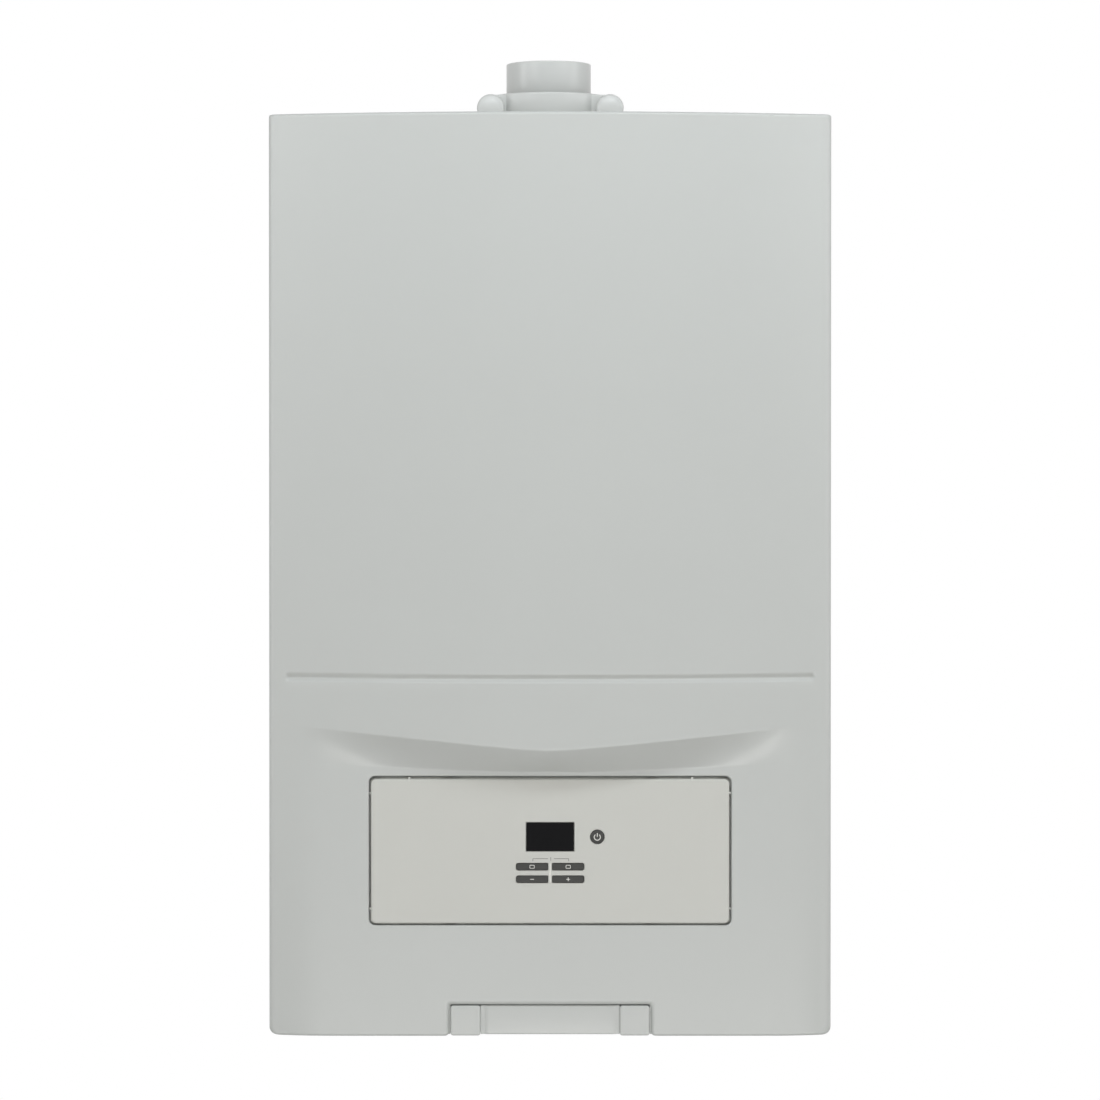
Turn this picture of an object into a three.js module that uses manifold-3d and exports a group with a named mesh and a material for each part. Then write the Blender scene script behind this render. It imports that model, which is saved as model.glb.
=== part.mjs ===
// A wall-hung combi boiler, piece by piece, in millimetres with +Z up.
// x runs to the right seen from the front and y into the wall, so the front faces -y.
// Every height below is measured from the casing's bottom edge. The exported group lifts the whole
// by half the casing's height, so its origin is on the wall plane at the casing's mid height.
import * as THREE from "three";
import { mergeVertices } from "three/addons/utils/BufferGeometryUtils.js";
import Module from "manifold-3d";

const wasm = await Module();
wasm.setup();

// ------------------------------------------------------------------ driving dimensions

// casing
const caseWidth = 440;
const caseHeight = 720;
const caseDepth = 338; // wall to the middle of the bowed upper front
const coverDepth = 72; // front edge of the side panels to the middle of the bowed front
const chassisDepth = caseDepth - coverDepth;
const sheet = 1.5; // chassis sheet steel
const coverSheet = 1.5;
const seat = 0.3; // gap between pieces that touch
const panelFlange = 12; // inward fold along the panels' front edges

// front cover
const frontBow = 29; // how far the upper front falls back from the middle to the sides
const flatDrop = 21.5; // how far the flat lower front lies behind the middle of the bowed one
const flatDepth = caseDepth - flatDrop;
const edgeRadius = 6; // the cover's vertical edges and bottom corners
const topChamfer = 2;
const grooveHeight = 279.5; // middle of the horizontal groove
const grooveHalf = 3.5;
const grooveDepth = 3;
const grooveMargin = 12; // groove's end to the casing's side
const creaseTop = 224.7; // the smile's upper line at the middle
const creaseTopRise = 16.7; // how much higher that line is near the sides
const creaseBand = 18; // height of the slope under the line at the middle
const creaseBandEnd = 5; // and where it runs out near the sides
const bottomLip = 20; // width of the cover's inward fold at the bottom

// control fascia and its window
const fasciaWidth = 279.8;
const fasciaHeight = 112.9;
const fasciaBottom = 88.1;
const fasciaThickness = 4;
const fasciaCorner = 4;
const fasciaBevel = 1.5;
const windowGapSide = 1.7;
const windowGapTop = 2.3;
const windowGapBottom = 1.5;
const windowCorner = 5;

// fold-down control box
const boxInset = 1.9; // fascia's side edge to the box's side
const boxDepth = 51; // behind the fascia
const boxWall = 2.5;
const hingeInset = 8.3; // fascia's front and lower edge to the hinge axis
const hingePinRadius = 2.2;
const hingeArmHalf = 4;
const boardThickness = 1.6;
const boardMargin = 12; // box wall to the board's edge
const boardToFascia = 12;
const relayHalf = 8;
const relayDepth = 12;
const relayBottom = 30; // above the hinge
const relayHeight = 20;
const postRadius = 4;
const bracketLap = 30; // how far the bracket's plate reaches below the base plate's level

// display, power button and keys
const displayWidth = 37.6;
const displayHeight = 22.5;
const displayHeightAt = 155.8; // middle
const displayThickness = 2;
const powerButtonRadius = 5.3;
const powerButtonAt = 36.8; // to the right of the middle
const keyWidth = 24.6;
const keyHeight = 5.2;
const keyRib = 3.6; // fascia's rib between the two columns of keys
const keyRowAt = 132.5; // middle of the upper row
const keyPitch = 9.8;
const buttonProud = 0.6;
const buttonLength = 6;
const buttonGap = 0.3;

// latch strip and release clips
const notchWidth = 159.4;
const notchHeight = 24.9;
const latchHeight = 22.4;
const latchBottom = 1.3;
const stripRecess = 2.5; // strip's face behind the flat front
const clipWidth = 23;
const clipHeight = 23;
const clipBottom = 0.5;
const clipProud = 0.5; // clip's face ahead of the flat front
const clipThickness = 8;
const clipTravel = 4;
const latchWall = 1.5;
const latchArmWidth = 10;

// flue connection
const flueDepth = 125; // wall to the flue's axis
const flueTubeRadius = 35;
const flueTubeWall = 2.5;
const flueTubeTop = 57.5; // above the casing
const flueTubeBelow = 14; // below the casing's top
const collarRadius = 49.7;
const collarWall = 2.7;
const collarTop = 30.5; // above the casing
const collarFlange = 128;
const collarFlangeThickness = 4;
const testPointRadius = 13;
const testPointAt = 49; // sideways from the flue's axis
const testPointHeight = 18.5; // above the casing
const testPointFront = 36; // ahead of the flue's axis
const testPointBack = 6;
const testCapThickness = 8;
const sealHeight = 6;
const sealWidth = 2.6;
const sealDrop = 4;

// heat exchanger and burner
const exchangerRadius = 112;
const exchangerHeight = 500; // axis
const exchangerBack = 80.3;
const frontSpace = 101.7; // exchanger's open front to the middle of the bowed front
const exchangerLength = caseDepth - exchangerBack - frontSpace;
const exchangerWall = 5;
const coilTurns = 5;
const coilWaist = 14; // how far the pack draws in between two turns
const coilWall = 4;
const drumSides = 32;
const burnerRadius = 34;
const burnerWall = 2;
const burnerEndGap = 36;
const burnerLength = exchangerLength - burnerEndGap;
const burnerFlangeRadius = 42;
const burnerFlange = 2;
const doorSealThickness = 2;
const doorThickness = 11;
const doorBossRadius = 37;
const doorBoss = 5;
const electrodeRadius = 4;
const electrodeAt = 33; // right of and above the exchanger's axis
const electrodeLength = 50;
const railHeight = 40;
const railAt = 565; // lower edge
const railDepth = 78.5;
const railFlange = 18;
const portRadius = 12;
const portWall = 2.5;
const portRoot = 50; // how near the ports' inner ends come to the drum's axis

// fan, gas and air
const fanX = 105;
const fanHeight = 345; // middle
const fanRadius = 58;
const fanWall = 3;
const fanThickness = 32;
const fanOutletX = 65;
const fanOutletRise = 70;
const fanOutletTop = fanHeight + fanOutletRise;
const fanOutletRadius = 16;
const fanOutletWall = 2.5;
const fanGap = 11.5; // burner door's face to the fan housing's back
const impellerRadius = 46;
const impellerThickness = 18;
const impellerBlades = 8;
const impellerBladeThickness = 2;
const shaftRadius = 4;
const fanMotorRadius = 32;
const fanMotorThickness = 24;
const manifoldRadius = 34;
const manifoldDepth = 44;
const manifoldTubeRadius = 16;
const venturiRadius = 24;
const venturiBore = 14;
const venturiLength = 46;
const gasPortRadius = 9;
const gasPortDrop = 12;
const silencerWidth = 62;
const silencerDepth = 80;
const silencerRise = 75;
const silencerBottom = fanHeight + silencerRise;
const silencerTop = 645;
const drainInset = 36.3; // exchanger's open front to the condensate port and the silencer's front
const flowPortInset = 56.3;
const silencerFront = exchangerBack + exchangerLength - drainInset;
const stayHeight = 60; // silencer's bottom to the stay that holds it to the side panel
const stayThickness = 6;
const stayHalf = 10;
const silencerWall = 3;
const airPipeRadius = 18;
const gasValveWidth = 50;
const gasValveDepth = 60;
const gasValveRise = 65.7; // pump's middle to the valve's underside
const gasValveNeck = 8;
const gasInletRise = 20;
const solenoidRadius = 14;
const solenoidLength = 22;
const gasPipeRadius = 7.5;

// hydraulics
const baseHeight = 60; // underside of the base plate
const baseInset = 16; // base plate's front fold behind the side panels' front edges
const baseDepth = chassisDepth - baseInset;
const baseFlangeBottom = 2;
const connectionDepth = 125;
const connectionBottom = 4;
const connectionTop = 75;
const connectionFlange = 22;
const heatingMargin = 120;
const heatingX = caseWidth / 2 - heatingMargin; // heating flow left, return right of the middle
const waterX = 35; // hot water left, cold water right of the middle
const heatingStubRadius = 12;
const waterStubRadius = 9;
const stubWall = 2.5;
const nutRadius = 18;
const nutHeight = 14;
const nutBottom = 26;
const pumpMargin = 100; // pump's middle to the casing's side
const pumpX = caseWidth / 2 - pumpMargin;
const pumpHeight = 150;
const pumpRadius = 48;
const pumpThickness = 52;
const pumpWall = 6;
const pumpPortRadius = 15;
const pumpOutletOffset = 20;
const pumpOutletX = pumpX + pumpOutletOffset;
const pumpOutletTop = 215;
const pumpMotorRadius = 42;
const pumpMotorMargin = 35; // motor's front behind the side panels' front edges
const pumpMotorLength =
  chassisDepth - pumpMotorMargin - connectionDepth - pumpThickness / 2;
const pumpShaftReach = 34; // shaft's length inside the motor
const terminalReach = 58; // pump's middle to the side of the motor's terminal box
const terminalHalf = 22;
const terminalInset = 12;
const pumpImpellerRadius = 34;
const pumpImpellerThickness = 12;
const ventOffset = 22;
const ventX = pumpX - ventOffset;
const ventRadius = 12;
const ventBottom = 200;
const ventLength = 45;
const safetyMargin = 30;
const safetyX = caseWidth / 2 - safetyMargin;
const safetyRadius = 12;
const safetyLength = 45;
const knobRadius = 15;
const knobLength = 22;
const knobRibs = 8;
const diverterRadius = 20;
const diverterPortHeight = 165;
const diverterRise = 25;
const diverterTop = diverterPortHeight + diverterRise;
const diverterPortReach = 35;
const diverterLinkHeight = 115;
const diverterMotorRadius = 22;
const diverterMotorHeight = 50;
const sensorRadius = 10;
const sensorLength = 30;
const sensorHeight = 140;
const plateLength = 180;
const plateHeight = 70;
const plateDepth = 60;
const plateBack = 36;
const platePortReach = 9;
const pipeRadius = 10;
const siphonMargin = 55;
const siphonX = caseWidth / 2 - siphonMargin; // left of the middle
const siphonRadius = 24;
const siphonTop = 200;
const siphonOutletRadius = 10;
const siphonOutletBottom = 24;
const hoseRadius = 9;
const condensateX = 30; // left of the middle
const vesselMargin = 50;
const vesselWidth = caseWidth - 2 * vesselMargin;
const vesselHeight = 300;
const vesselBottom = 330;
const vesselDepth = 68;
const vesselBevel = 10;
const vesselWall = 3;
const vesselNipple = 8; // radius of the filling nipple on its front

// hanging slots
const slotX = 130;
const slotHeight = 672;
const slotWidth = 50;
const slotTall = 12;
const frameFlange = 16;

// ------------------------------------------------------------------ sizes that follow

const halfWidth = caseWidth / 2;
const panelInside = halfWidth - sheet - seat; // what lies between the side panels reaches this far
const fasciaHalf = fasciaWidth / 2;
const fasciaTop = fasciaBottom + fasciaHeight;
const windowHalf = fasciaHalf + windowGapSide;
const windowBottom = fasciaBottom - windowGapBottom;
const windowTop = fasciaTop + windowGapTop;
const hingeY = -flatDepth + hingeInset;
const hingeZ = fasciaBottom + hingeInset;
const flueY = -flueDepth;
const collarBase = caseHeight + seat;
const exchangerFront = exchangerBack + exchangerLength;
const doorBack = exchangerFront + seat + doorSealThickness + seat;
const doorFront = doorBack + doorThickness;
const fanBack = doorFront + fanGap;
const fanFront = fanBack + fanThickness;
const fanMiddle = (fanBack + fanFront) / 2;
const baseTop = baseHeight + sheet;
const pumpBack = connectionDepth - pumpThickness / 2;
const pumpFront = connectionDepth + pumpThickness / 2;

// ------------------------------------------------------------------ materials

const paint = (color, roughness, metalness = 0) =>
  new THREE.MeshStandardMaterial({ color, roughness, metalness });
const coverWhite = paint(0xd9dddb, 0.35);
const galvanised = paint(0xaeb2b4, 0.5, 0.8);
const warmPlastic = paint(0xd6d6ce, 0.5);
const fluePlastic = paint(0xdadbda, 0.5);
const darkPlastic = paint(0x3a3b3b, 0.6);
const blackGlass = paint(0x161717, 0.15);
const castAluminium = paint(0xa9abac, 0.55, 0.9);
const stainless = paint(0xb9bcbd, 0.3, 1);
const copper = paint(0xb87348, 0.35, 1);
const brass = paint(0xb69a55, 0.35, 1);
const rubber = paint(0x242424, 0.8);
const redPlastic = paint(0xb3211c, 0.4);
const redPaint = paint(0xa52a22, 0.45);
const boardGreen = paint(0x2c6b3d, 0.5);
const ceramic = paint(0xe8e4da, 0.4);

// ------------------------------------------------------------------ shapes and solids

// A closed geometry as a solid, with its shared vertices merged and its flat triangles dropped.
function solid(geometry) {
  const bare = geometry.index ? geometry.toNonIndexed() : geometry.clone();
  bare.deleteAttribute("normal");
  bare.deleteAttribute("uv");
  const merged = mergeVertices(bare, 1e-3);
  const kept = [];
  const index = merged.index.array;
  for (let i = 0; i < index.length; i += 3) {
    const [a, b, c] = [index[i], index[i + 1], index[i + 2]];
    if (a !== b && b !== c && c !== a) kept.push(a, b, c);
  }
  const make = (triangles) =>
    new wasm.Manifold(
      new wasm.Mesh({
        numProp: 3,
        vertProperties: merged.attributes.position.array,
        triVerts: new Uint32Array(triangles),
      }),
    );
  const made = make(kept);
  if (made.volume() > 0) return made;
  for (let i = 0; i < kept.length; i += 3)
    [kept[i + 1], kept[i + 2]] = [kept[i + 2], kept[i + 1]];
  return make(kept);
}

function geometryOf(body) {
  const mesh = body.getMesh();
  const positions = new Float32Array(mesh.numVert * 3);
  for (let i = 0; i < mesh.numVert; i++)
    for (let k = 0; k < 3; k++)
      positions[3 * i + k] = mesh.vertProperties[mesh.numProp * i + k];
  return new THREE.BufferGeometry()
    .setAttribute("position", new THREE.BufferAttribute(positions, 3))
    .setIndex(new THREE.BufferAttribute(mesh.triVerts.slice(), 1));
}

const join = (...pieces) =>
  geometryOf(pieces.map(solid).reduce((all, piece) => all.add(piece)));
const cut = (piece, ...tools) =>
  geometryOf(tools.map(solid).reduce((left, tool) => left.subtract(tool), solid(piece)));
const common = (a, b) => geometryOf(solid(a).intersect(solid(b)));

const box = (x0, x1, y0, y1, z0, z1) =>
  new THREE.BoxGeometry(x1 - x0, y1 - y0, z1 - z0).translate(
    (x0 + x1) / 2,
    (y0 + y1) / 2,
    (z0 + z1) / 2,
  );

// A cylinder along one of the three directions, from `from` to `to`, through the given point.
function rodZ(radius, x, y, from, to, sides = 12) {
  return new THREE.CylinderGeometry(radius, radius, to - from, sides)
    .rotateX(Math.PI / 2)
    .translate(x, y, (from + to) / 2);
}
function rodY(radius, x, z, from, to, sides = 12) {
  return new THREE.CylinderGeometry(radius, radius, to - from, sides).translate(
    x,
    (from + to) / 2,
    z,
  );
}
function rodX(radius, y, z, from, to, sides = 12) {
  return new THREE.CylinderGeometry(radius, radius, to - from, sides)
    .rotateZ(Math.PI / 2)
    .translate((from + to) / 2, y, z);
}

// A closed profile of [radius, height] turned about the z axis.
function turned(profile, sides = 20) {
  const points = [...profile, profile[0]].map(([r, h]) => new THREE.Vector2(r, h));
  return geometryOf(solid(new THREE.LatheGeometry(points, sides).rotateX(Math.PI / 2)));
}
// The same, turned about the y axis, with heights along y.
function turnedY(profile, sides = 20) {
  const points = [...profile, profile[0]].map(([r, h]) => new THREE.Vector2(r, h));
  return geometryOf(solid(new THREE.LatheGeometry(points, sides)));
}

const pipe = (outer, inner, from, to) => [
  [inner, from],
  [outer, from],
  [outer, to],
  [inner, to],
];

// A rectangle with round corners.
function roundedRect(x0, x1, z0, z1, r, steps = 4) {
  const shape = new THREE.Shape();
  const corner = (x, z, start) => {
    for (let i = 0; i <= steps; i++) {
      const a = start + (i / steps) * (Math.PI / 2);
      const p = [x + r * Math.cos(a), z + r * Math.sin(a)];
      if (shape.curves.length || i || start) shape.lineTo(...p);
      else shape.moveTo(...p);
    }
  };
  corner(x1 - r, z1 - r, 0);
  corner(x0 + r, z1 - r, Math.PI / 2);
  corner(x0 + r, z0 + r, Math.PI);
  corner(x1 - r, z0 + r, 1.5 * Math.PI);
  shape.closePath();
  return shape;
}

function polygon(points) {
  return new THREE.Shape(points.map(([a, b]) => new THREE.Vector2(a, b)));
}

// A shape in the x-z plane carried along y, from y0 (front) to y1 (back).
function alongY(shape, y0, y1) {
  return new THREE.ExtrudeGeometry(shape, { depth: y1 - y0, bevelEnabled: false })
    .rotateX(Math.PI / 2)
    .translate(0, y1, 0);
}
// A shape in the x-y plane carried up from z0 to z1.
function alongZ(shape, z0, z1) {
  return new THREE.ExtrudeGeometry(shape, { depth: z1 - z0, bevelEnabled: false }).translate(
    0,
    0,
    z0,
  );
}
// A shape in the y-z plane carried along x from x0 to x1.
function alongX(shape, x0, x1) {
  const turn = new THREE.Matrix4().makeBasis(
    new THREE.Vector3(0, 1, 0),
    new THREE.Vector3(0, 0, 1),
    new THREE.Vector3(1, 0, 0),
  );
  return new THREE.ExtrudeGeometry(shape, { depth: x1 - x0, bevelEnabled: false })
    .applyMatrix4(turn)
    .translate(x0, 0, 0);
}

// A round section carried along a smooth curve through the given points.
function bentRod(points, radius, sides = 10, steps = 24) {
  const curve = new THREE.CatmullRomCurve3(
    points.map((p) => new THREE.Vector3(...p)),
    false,
    "centripetal",
  );
  const section = new THREE.Shape();
  for (let i = 0; i < sides; i++) {
    const a = (i / sides) * 2 * Math.PI;
    const p = [radius * Math.cos(a), radius * Math.sin(a)];
    if (i) section.lineTo(...p);
    else section.moveTo(...p);
  }
  return new THREE.ExtrudeGeometry(section, { steps, extrudePath: curve, bevelEnabled: false });
}

const mirrorX = (geometry) => {
  const flipped = geometry.clone().scale(-1, 1, 1);
  return geometryOf(solid(flipped));
};

// ------------------------------------------------------------------ casing

const casing = new THREE.Group();

function add(name, geometry, material, place = [0, 0, 0]) {
  const mesh = new THREE.Mesh(geometry, material);
  mesh.name = name;
  mesh.position.set(...place);
  casing.add(mesh);
  return mesh;
}

// Back sheet with two side folds and two slots that hang on the wall's hook rail.
function rearFrame() {
  const back = box(-panelInside, panelInside, -sheet, 0, 0, caseHeight);
  const fold = (side) =>
    box(
      Math.min(side * panelInside, side * (panelInside - sheet)),
      Math.max(side * panelInside, side * (panelInside - sheet)),
      -frameFlange,
      0,
      0,
      caseHeight - sheet - seat,
    );
  const slot = (x) =>
    alongY(
      roundedRect(
        x - slotWidth / 2,
        x + slotWidth / 2,
        slotHeight - slotTall / 2,
        slotHeight + slotTall / 2,
        slotTall / 2 - 0.5,
      ),
      -sheet - 1,
      1,
    );
  return cut(join(back, fold(-1), fold(1)), slot(-slotX), slot(slotX));
}

// A side sheet with its front edge folded inwards.
function sidePanel(side) {
  const outline = polygon([
    [halfWidth, 0],
    [halfWidth, -chassisDepth],
    [halfWidth - panelFlange, -chassisDepth],
    [halfWidth - panelFlange, -chassisDepth + sheet],
    [halfWidth - sheet, -chassisDepth + sheet],
    [halfWidth - sheet, 0],
  ]);
  const panel = alongZ(outline, 0, caseHeight);
  return side > 0 ? geometryOf(solid(panel)) : mirrorX(panel);
}

// The top sheet with a folded front edge and the hole that the flue connection covers.
function topPanel() {
  const reach = panelInside - panelFlange;
  const top = box(
    -panelInside,
    panelInside,
    -chassisDepth + sheet + seat,
    -sheet - seat,
    caseHeight - sheet,
    caseHeight,
  );
  const lip = box(
    -reach,
    reach,
    -chassisDepth,
    -chassisDepth + sheet,
    caseHeight - panelFlange,
    caseHeight,
  );
  const bridge = box(
    -reach,
    reach,
    -chassisDepth,
    -chassisDepth + 4 * sheet,
    caseHeight - sheet,
    caseHeight,
  );
  const hole = rodZ(
    collarRadius - collarWall,
    0,
    flueY,
    caseHeight - 2 * sheet,
    caseHeight + 1,
    32,
  );
  return cut(join(top, bridge, lip), hole);
}

const connections = [
  ["heating_flow_connection", -heatingX, heatingStubRadius, brass],
  ["hot_water_connection", -waterX, waterStubRadius, brass],
  ["gas_connection", 0, waterStubRadius, brass],
  ["cold_water_connection", waterX, waterStubRadius, brass],
  ["heating_return_connection", heatingX, heatingStubRadius, brass],
];

// The floor of the boiler: a sheet with a deep front fold, and a hole for each connection.
function basePlate() {
  const floor = box(
    -panelInside,
    panelInside,
    -baseDepth,
    -frameFlange - seat,
    baseHeight,
    baseTop,
  );
  const tongue = box(
    -panelInside + 2 * sheet,
    panelInside - 2 * sheet,
    -frameFlange - 1,
    -sheet - seat,
    baseHeight,
    baseTop,
  );
  const fold = box(
    -panelInside,
    panelInside,
    -baseDepth,
    -baseDepth + sheet,
    baseFlangeBottom,
    baseTop,
  );
  const holes = connections.map(([, x, radius]) =>
    rodZ(radius + seat, x, -connectionDepth, baseHeight - 1, baseTop + 1),
  );
  const drain = rodZ(
    siphonOutletRadius + 2 * seat,
    -siphonX,
    -siphonDepth,
    baseHeight - 1,
    baseTop + 1,
  );
  return cut(join(floor, tongue, fold), ...holes, drain);
}

// The rail across the casing that the heat exchanger is bolted to.
function crossRail() {
  const outline = polygon([
    [panelInside, -railDepth + sheet],
    [panelInside, -railDepth - railFlange],
    [panelInside - sheet, -railDepth - railFlange],
    [panelInside - sheet, -railDepth],
    [-panelInside + sheet, -railDepth],
    [-panelInside + sheet, -railDepth - railFlange],
    [-panelInside, -railDepth - railFlange],
    [-panelInside, -railDepth + sheet],
  ]);
  return geometryOf(solid(alongZ(outline, railAt, railAt + railHeight)));
}

// ------------------------------------------------------------------ front cover

// How far forward the bowed upper front is at x, with the round vertical edges.
function bowedFront(x) {
  const flat = Math.min(Math.abs(x), halfWidth - edgeRadius);
  const beyond = Math.abs(x) - flat;
  const round = edgeRadius - Math.sqrt(Math.max(edgeRadius ** 2 - beyond ** 2, 0));
  return caseDepth - frontBow * (flat / halfWidth) ** 2 - round;
}
// The same for the lower front, which is cut back to a flat plane across its middle.
const lowerFront = (x) => Math.min(bowedFront(x), flatDepth);
// Heights of the smile's upper line and of the foot of its slope.
const smileEnd = halfWidth * Math.sqrt((caseDepth - flatDepth) / frontBow);
const smileTop = (x) =>
  creaseTop + creaseTopRise * Math.min(Math.abs(x) / smileEnd, 1) ** 1.35;
const smileFoot = (x) => {
  const share = (bowedFront(x) - lowerFront(x)) / flatDrop;
  return smileTop(x) - creaseBandEnd - (creaseBand - creaseBandEnd) * share;
};

// The grid of the cover's front: for each column x, rows of [height, distance from the wall].
function coverRows(x) {
  const grooved = Math.abs(x) <= halfWidth - grooveMargin ? grooveDepth : 0;
  const upper = bowedFront(x);
  const lower = lowerFront(x);
  return [
    [0, lower],
    [windowBottom - 10, lower],
    [smileFoot(x), lower],
    [(smileTop(x) + smileFoot(x)) / 2, lower + (upper - lower) * 0.4],
    [smileTop(x), upper],
    [grooveHeight - grooveHalf, upper],
    [grooveHeight, upper - grooved],
    [grooveHeight + grooveHalf, upper],
    [caseHeight - topChamfer, upper],
    [caseHeight, upper - topChamfer],
  ];
}

function coverColumns() {
  const flat = halfWidth - edgeRadius;
  const steps = [0.17, 0.34, 0.5, 0.64, 0.77, smileEnd / flat, 0.945].map((s) => s * flat);
  const round = [Math.PI / 6, Math.PI / 3, Math.PI / 2].map(
    (a) => flat + edgeRadius * Math.sin(a),
  );
  const right = [...steps, halfWidth - grooveMargin, flat, ...round].sort((a, b) => a - b);
  return [...right.map((x) => -x).reverse(), 0, ...right];
}

// The space behind the front, down to `back`, drawn in by `inset` on every side but the back.
function coverBody(inset, back) {
  const shrink = (halfWidth - inset) / halfWidth;
  const positions = [];
  const columns = coverColumns();
  const front = columns.map((x) =>
    coverRows(x).map(([z, depth]) => [
      x * shrink,
      -depth + inset,
      Math.min(Math.max(z, inset), caseHeight - inset),
    ]),
  );
  const rows = front[0].length;
  const behind = ([x, , z]) => [x, -back, z];
  const quad = (a, b, c, d) => positions.push(...a, ...b, ...c, ...a, ...c, ...d);
  for (let i = 0; i + 1 < columns.length; i++) {
    for (let j = 0; j + 1 < rows; j++) {
      const [a, b] = [front[i][j], front[i + 1][j]];
      const [d, c] = [front[i][j + 1], front[i + 1][j + 1]];
      quad(a, b, c, d);
      quad(behind(b), behind(a), behind(d), behind(c));
    }
    const [low, next] = [front[i][0], front[i + 1][0]];
    quad(behind(low), behind(next), next, low);
    const [high, after] = [front[i][rows - 1], front[i + 1][rows - 1]];
    quad(high, after, behind(after), behind(high));
  }
  for (let j = 0; j + 1 < rows; j++) {
    const [left, above] = [front[0][j], front[0][j + 1]];
    quad(behind(left), left, above, behind(above));
    const [right, over] = [front[columns.length - 1][j], front[columns.length - 1][j + 1]];
    quad(right, behind(right), behind(over), over);
  }
  return new THREE.BufferGeometry().setAttribute(
    "position",
    new THREE.BufferAttribute(new Float32Array(positions), 3),
  );
}

// The casing's outline from the front, with its bottom corners rounded.
function frontOutline(inset) {
  const r = edgeRadius;
  const x = halfWidth - inset;
  const corner = (side, start) =>
    [0, 1, 2, 3].map((i) => {
      const a = start + (i / 3) * (Math.PI / 2);
      return [side * (x - r) + r * Math.cos(a), inset + r + r * Math.sin(a)];
    });
  return polygon([
    [x, caseHeight + 1],
    [-x, caseHeight + 1],
    ...corner(-1, Math.PI),
    ...corner(1, 1.5 * Math.PI),
  ]);
}

function frontCover() {
  const back = chassisDepth + seat;
  const outer = common(
    coverBody(0, back),
    alongY(frontOutline(0), -caseDepth - 10, -back + 1),
  );
  const inner = common(
    coverBody(coverSheet, back - 20),
    alongY(frontOutline(coverSheet), -caseDepth - 10, -back + 21),
  );
  const window = alongY(
    roundedRect(-windowHalf, windowHalf, windowBottom, windowTop, windowCorner),
    -flatDepth - 5,
    -flatDepth + 3 * coverSheet,
  );
  const notch = box(
    -notchWidth / 2,
    notchWidth / 2,
    -flatDepth - 5,
    -flatDepth + bottomLip + 10,
    -1,
    notchHeight,
  );
  const open = box(
    -halfWidth + 2 * bottomLip,
    halfWidth - 2 * bottomLip,
    -flatDepth + bottomLip,
    -back + 10,
    -1,
    2 * coverSheet,
  );
  return cut(outer, inner, window, notch, open);
}

// ------------------------------------------------------------------ latch

const clipX = notchWidth / 2 - latchWall - 2 * seat - clipWidth / 2;

// The strip in the notch, with a pocket at each end for a clip and two arms back to the base plate.
function latchBar() {
  const face = -flatDepth + stripRecess;
  const pocketBack = -flatDepth - clipProud + clipThickness + clipTravel + 2 * seat;
  const top = latchBottom + latchHeight;
  const outer = notchWidth / 2 - seat;
  const strip = box(
    -outer + clipWidth,
    outer - clipWidth,
    face,
    face + latchWall,
    latchBottom,
    top,
  );
  const rear = box(-outer, outer, pocketBack, pocketBack + latchWall, latchBottom, top);
  const walls = [-1, 1].flatMap((side) =>
    [clipX - clipWidth / 2 - seat - latchWall, clipX + clipWidth / 2 + seat].map((x) =>
      box(
        Math.min(side * x, side * (x + latchWall)),
        Math.max(side * x, side * (x + latchWall)),
        face,
        pocketBack + latchWall,
        latchBottom,
        top,
      ),
    ),
  );
  const inner = clipX - clipWidth / 2 - seat - latchWall;
  const trimmed = common(
    strip,
    box(-inner - 1, inner + 1, face - 1, face + 2 * latchWall, latchBottom - 1, top + 1),
  );
  const arms = [-1, 1].map((side) => {
    const x = side * (inner - 2 * latchArmWidth);
    return box(
      x - latchArmWidth / 2,
      x + latchArmWidth / 2,
      pocketBack,
      -baseDepth - seat,
      latchBottom + 2,
      top - 2,
    );
  });
  return join(trimmed, rear, ...walls, ...arms);
}

// A push pad with rounded front edges.
function releaseClip(side) {
  const x = side * clipX;
  const front = -flatDepth - clipProud;
  const pad = new THREE.ExtrudeGeometry(
    roundedRect(
      -clipWidth / 2 + 1.2,
      clipWidth / 2 - 1.2,
      -clipHeight / 2 + 1.2,
      clipHeight / 2 - 1.2,
      0.8,
      2,
    ),
    { depth: clipThickness - 1.2, bevelEnabled: true, bevelThickness: 1.2, bevelSize: 1.2,
      bevelSegments: 2 },
  )
    .rotateX(Math.PI / 2)
    .translate(0, clipThickness, clipBottom + clipHeight / 2);
  const kept = box(
    -clipWidth,
    clipWidth,
    0,
    clipThickness,
    clipBottom - 5,
    clipBottom + clipHeight + 5,
  );
  return common(pad, kept).translate(x, front, 0);
}

// ------------------------------------------------------------------ flue connection

// Base flange, outer air ring with three ribs that hold the inner pipe, and two test points.
function flueCollar() {
  const half = collarFlange / 2;
  const base = collarBase;
  const flange = alongZ(
    roundedRect(-half, half, -half, half, 18),
    base,
    base + collarFlangeThickness,
  ).translate(0, flueY, 0);
  const ring = rodZ(collarRadius, 0, flueY, base, caseHeight + collarTop, 40);
  const points = [-1, 1].map((side) =>
    rodY(
      testPointRadius,
      side * testPointAt,
      caseHeight + testPointHeight,
      flueY - testPointFront,
      flueY + testPointBack,
      24,
    ),
  );
  const bore = rodZ(
    collarRadius - collarWall,
    0,
    flueY,
    base - 1,
    caseHeight + collarTop + 1,
    40,
  );
  const shell = cut(join(flange, ring, ...points), bore);
  const ribs = [0, 1, 2].map((i) =>
    box(
      flueTubeRadius + seat,
      collarRadius - collarWall / 2,
      -collarWall / 2,
      collarWall / 2,
      base,
      caseHeight + collarTop - 12,
    )
      .rotateZ(Math.PI / 6 + (i * 2 * Math.PI) / 3)
      .translate(0, flueY, 0),
  );
  return join(shell, ...ribs);
}

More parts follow.
